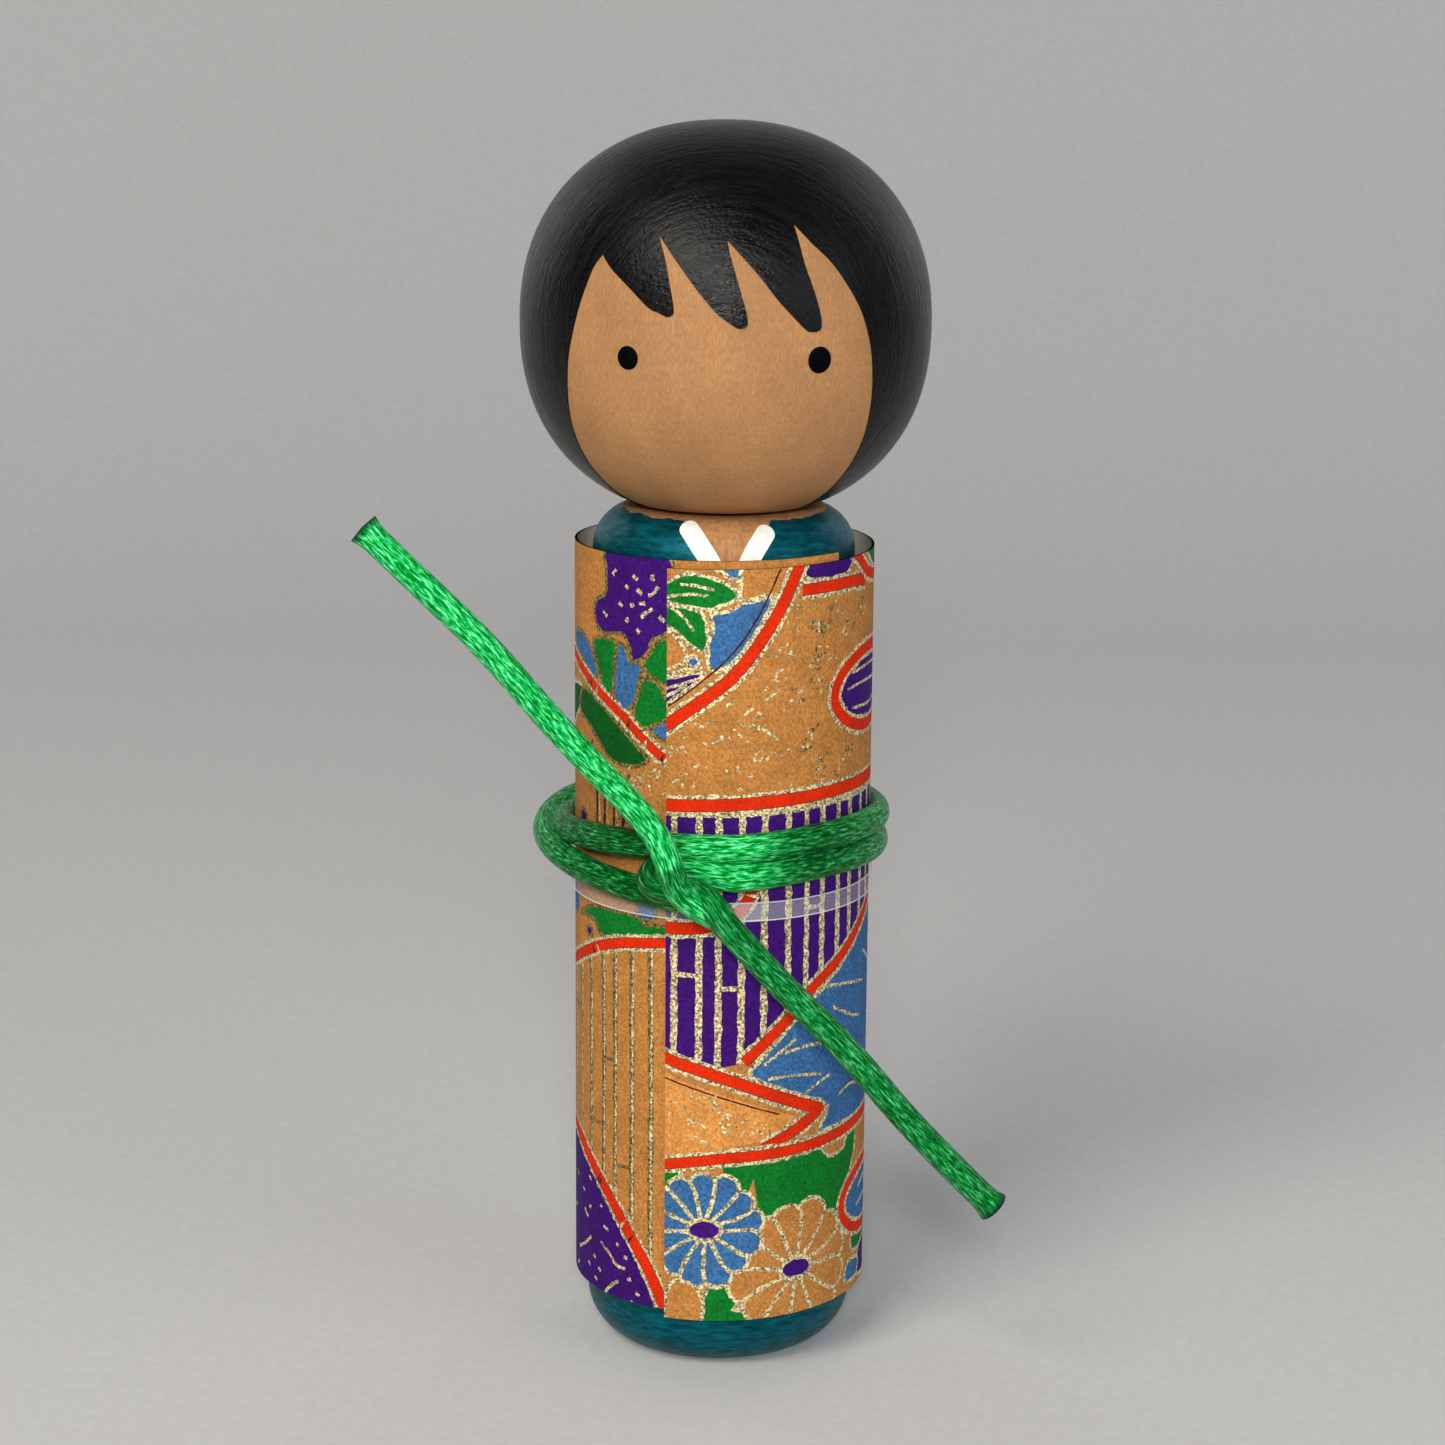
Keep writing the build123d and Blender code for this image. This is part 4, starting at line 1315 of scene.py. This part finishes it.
# each eye's angle from the front, angle down from the crown and size
EYES = {"left": (-26.9, 94.8, 0.95), "right": (25.9, 94.9, 1.06)}
EYE_THICKNESS = 0.16
# each collar stroke's angle from the front and height, from the neck down
COLLAR = {
    "left": [(-16.9, 72.55), (-13.8, 72.1), (-9.4, 71.2), (-5.6, 70.2), (-3.2, 69.2), (-1.6, 68.4)],
    "right": [(19.4, 72.25), (16.8, 71.8), (13.6, 71.1), (11, 70.3), (8.4, 69.2), (6.6, 68.4)],
}
COLLAR_THICKNESS = 0.24
COLLAR_COLUMNS, COLLAR_END_ROWS = 9, 6


def flat_on_head(azimuth, polar):
    """A place on the head laid flat, as a map seen from above the crown."""
    return around(azimuth, polar, 0.0)[:2]


def on_head(place, lift):
    """The point and direction of a place on the flat map of the head, lifted off the wood."""
    polar = hypot(place[0], place[1])
    azimuth = degrees(atan2(place[0], -place[1]))
    point, normal = head_surface(azimuth, polar)
    return point + normal * lift, normal


def hair_map(step):
    """Flat points and triangles of the hair: the whole head but the face."""
    face = []
    for part in (LEFT_CHEEK, CHIN, RIGHT_CHEEK, FRINGE_RIGHT, FRINGE_MIDDLE, FRINGE_LEFT):
        line = line_through([flat_on_head(*p) for p in part], FACE_STEP)
        face.extend(line if part is LEFT_CHEEK or part is CHIN else line[:-1])
    face = turned_left(face)
    rim = turned_left([flat_on_head(-360 * k / HAIR_RIM_COUNT, SEAT_POLAR) for k in range(HAIR_RIM_COUNT)])
    points = [Vector(p) for p in rim + face]
    outlines = [list(range(len(rim))), list(range(len(rim), len(points)))]
    rings = int(SEAT_POLAR / step)
    for ring in range(1, rings):
        polar = ring * step
        count = max(6, round(tau * polar / step))
        points.extend(Vector(flat_on_head(360 * (k + ring % 2 / 2) / count, polar)) for k in range(count))
    points.append(Vector((0, 0)))
    flat, _, triangles, _, _, owners = delaunay_2d_cdt(points, [], outlines, 1, 1e-5, True)
    kept = [tuple(t) for t, owner in zip(triangles, owners) if 0 in owner and 1 not in owner]
    return only_used(flat, kept)


class DOLL_OT_hair(bpy.types.Operator):
    """Paints the bobbed black hair with its pointed fringe"""

    bl_idname = "doll.hair"
    bl_label = "Hair"

    def execute(self, context):
        sizes, colours = context.scene.doll_sizes, context.scene.doll_colours
        flat, triangles = hair_map(HAIR_STEP)
        points, faces, normals = film_faces(flat, triangles, on_head, sizes.hair_lift / MM, PAINT_SINK)
        finish = hair_paint("black satin hair paint", tuple(colours.hair))
        hair = make_piece("painted_hair", points, faces, normals, [finish])
        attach(hair, "head")
        return {"FINISHED"}


class DOLL_OT_eyes(bpy.types.Operator):
    """Paints the two black dots of the eyes"""

    bl_idname = "doll.eyes"
    bl_label = "Eyes"

    def execute(self, context):
        sizes, colours = context.scene.doll_sizes, context.scene.doll_colours
        finish = plain_paint("black eye paint", shade(tuple(colours.hair), 0.2), 0.6, 0.04)
        for name, (azimuth, polar, scale) in EYES.items():
            centre, normal = head_surface(azimuth, polar)
            bpy.ops.object.select_all(action="DESELECT")
            bpy.ops.mesh.primitive_uv_sphere_add(segments=40, ring_count=20, radius=1.0)
            eye = context.object
            eye.name = f"painted_eye_{name}"
            bpy.ops.object.mode_set(mode="EDIT")
            bpy.ops.mesh.select_all(action="SELECT")
            # a flat lens of paint, its back half cut off
            bpy.ops.transform.resize(
                value=(sizes.eye_width / 2 * scale, sizes.eye_height / 2 * scale, EYE_THICKNESS * MM)
            )
            bpy.ops.mesh.bisect(
                plane_co=(0, 0, -EYE_THICKNESS / 2 * MM), plane_no=(0, 0, 1), clear_inner=True, use_fill=True
            )
            bpy.ops.object.mode_set(mode="OBJECT")
            facing = normal.to_track_quat("Z", "Y").to_matrix().to_4x4()
            eye.data.transform(Matrix.Translation((centre + normal * 0.02) * MM) @ facing)
            bpy.ops.object.shade_smooth_by_angle(angle=radians(50))
            eye.data.materials.append(finish)
            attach(eye, "head")
        return {"FINISHED"}


class DOLL_OT_collar(bpy.types.Operator):
    """Paints the two white strokes of the collar on the shoulder"""

    bl_idname = "doll.collar"
    bl_label = "Collar"

    def execute(self, context):
        sizes, colours = context.scene.doll_sizes, context.scene.doll_colours
        finish = plain_paint("white collar paint", tuple(colours.collar), 0.4)
        half = sizes.collar_width / MM / 2
        for name, stroke in COLLAR.items():
            line = line_through(stroke, 0.25)
            rows = []
            for index, place in enumerate(line):
                here, normal = shoulder_surface(*place)
                before, _ = shoulder_surface(*line[max(index - 1, 0)])
                after, _ = shoulder_surface(*line[min(index + 1, len(line) - 1)])
                ahead = (after - before).normalized()
                rows.append((here, ahead, normal.cross(ahead).normalized(), 1.0))
            first, ahead, side, _ = rows[0]
            # the stroke starts with a round end
            cap = []
            for step in range(COLLAR_END_ROWS):
                angle = pi / 2 * (step + 0.5) / COLLAR_END_ROWS
                cap.append((first - ahead * half * cos(angle), ahead, side, sin(angle)))
            rows = cap + rows
            flat, triangles = [], []
            for middle, _, sideways, share in rows:
                for column in range(COLLAR_COLUMNS):
                    offset = (column / (COLLAR_COLUMNS - 1) * 2 - 1) * half * share
                    flat.append((middle + sideways * offset, 1 - (offset / half) ** 2))
            for row in range(len(rows) - 1):
                for column in range(COLLAR_COLUMNS - 1):
                    a = row * COLLAR_COLUMNS + column
                    b = a + COLLAR_COLUMNS
                    triangles.extend([(a, a + 1, b + 1), (a, b + 1, b)])

            def on_shoulder(spot, lift):
                near, crown = spot
                azimuth = degrees(atan2(near.x, -near.y))
                point, normal = shoulder_surface(azimuth, near.z)
                thick = lift * (0.35 + 0.65 * max(0.0, crown) ** 0.5) if lift > 0 else lift
                return point + normal * thick, normal

            points, faces, normals = film_faces(
                flat, triangles, on_shoulder, COLLAR_THICKNESS, PAINT_SINK
            )
            stroke_piece = make_piece(f"collar_stroke_{name}", points, faces, normals, [finish])
            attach(stroke_piece, "doll")
        return {"FINISHED"}


class DOLL_OT_wood(bpy.types.Operator):
    """Gives the turned body, head, dowel, tape and film their finishes"""

    bl_idname = "doll.wood"
    bl_label = "Wood, tape and film"

    def execute(self, context):
        colours = context.scene.doll_colours
        wood = tuple(colours.wood)
        finishes = {
            "head": turned_wood("sanded basswood head", wood),
            "body": robe_paint("teal metallic paint on basswood", tuple(colours.robe), wood),
            "neck_dowel": turned_wood("birch dowel", shade(wood, 1.1)),
            "kimono_tape": plain_paint("white foam tape", linear("E8E6E0"), 0.8),
            "waist_film": clear_film("clear film strip"),
        }
        for name, finish in finishes.items():
            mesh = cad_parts[name].data
            mesh.materials.clear()
            mesh.materials.append(finish)
        return {"FINISHED"}


class DOLL_PT_workshop(bpy.types.Panel):
    """Lists the steps that build the doll, with its sizes and colours"""

    bl_label = "Kokeshi doll"
    bl_idname = "DOLL_PT_workshop"
    bl_space_type = "VIEW_3D"
    bl_region_type = "UI"
    bl_category = "Doll"

    def draw(self, context):
        layout = self.layout
        for step in STEPS:
            layout.operator(f"doll.{step}")
        for settings in (context.scene.doll_sizes, context.scene.doll_colours):
            for field in settings.bl_rna.properties:
                if field.identifier not in ("name", "rna_type"):
                    layout.prop(settings, field.identifier)


STEPS = ("stage", "cord", "kimono", "hair", "eyes", "collar", "wood")

CLASSES = (
    DollSizes,
    DollColours,
    DOLL_OT_stage,
    DOLL_OT_cord,
    DOLL_OT_kimono,
    DOLL_OT_hair,
    DOLL_OT_eyes,
    DOLL_OT_collar,
    DOLL_OT_wood,
    DOLL_PT_workshop,
)


def register():
    for made in CLASSES:
        bpy.utils.register_class(made)
    bpy.types.Scene.doll_sizes = bpy.props.PointerProperty(type=DollSizes)
    bpy.types.Scene.doll_colours = bpy.props.PointerProperty(type=DollColours)


def unregister():
    del bpy.types.Scene.doll_colours
    del bpy.types.Scene.doll_sizes
    for made in reversed(CLASSES):
        bpy.utils.unregister_class(made)


def main():
    register()
    for step in STEPS:
        getattr(bpy.ops.doll, step)()


if __name__ == "__main__":
    main()
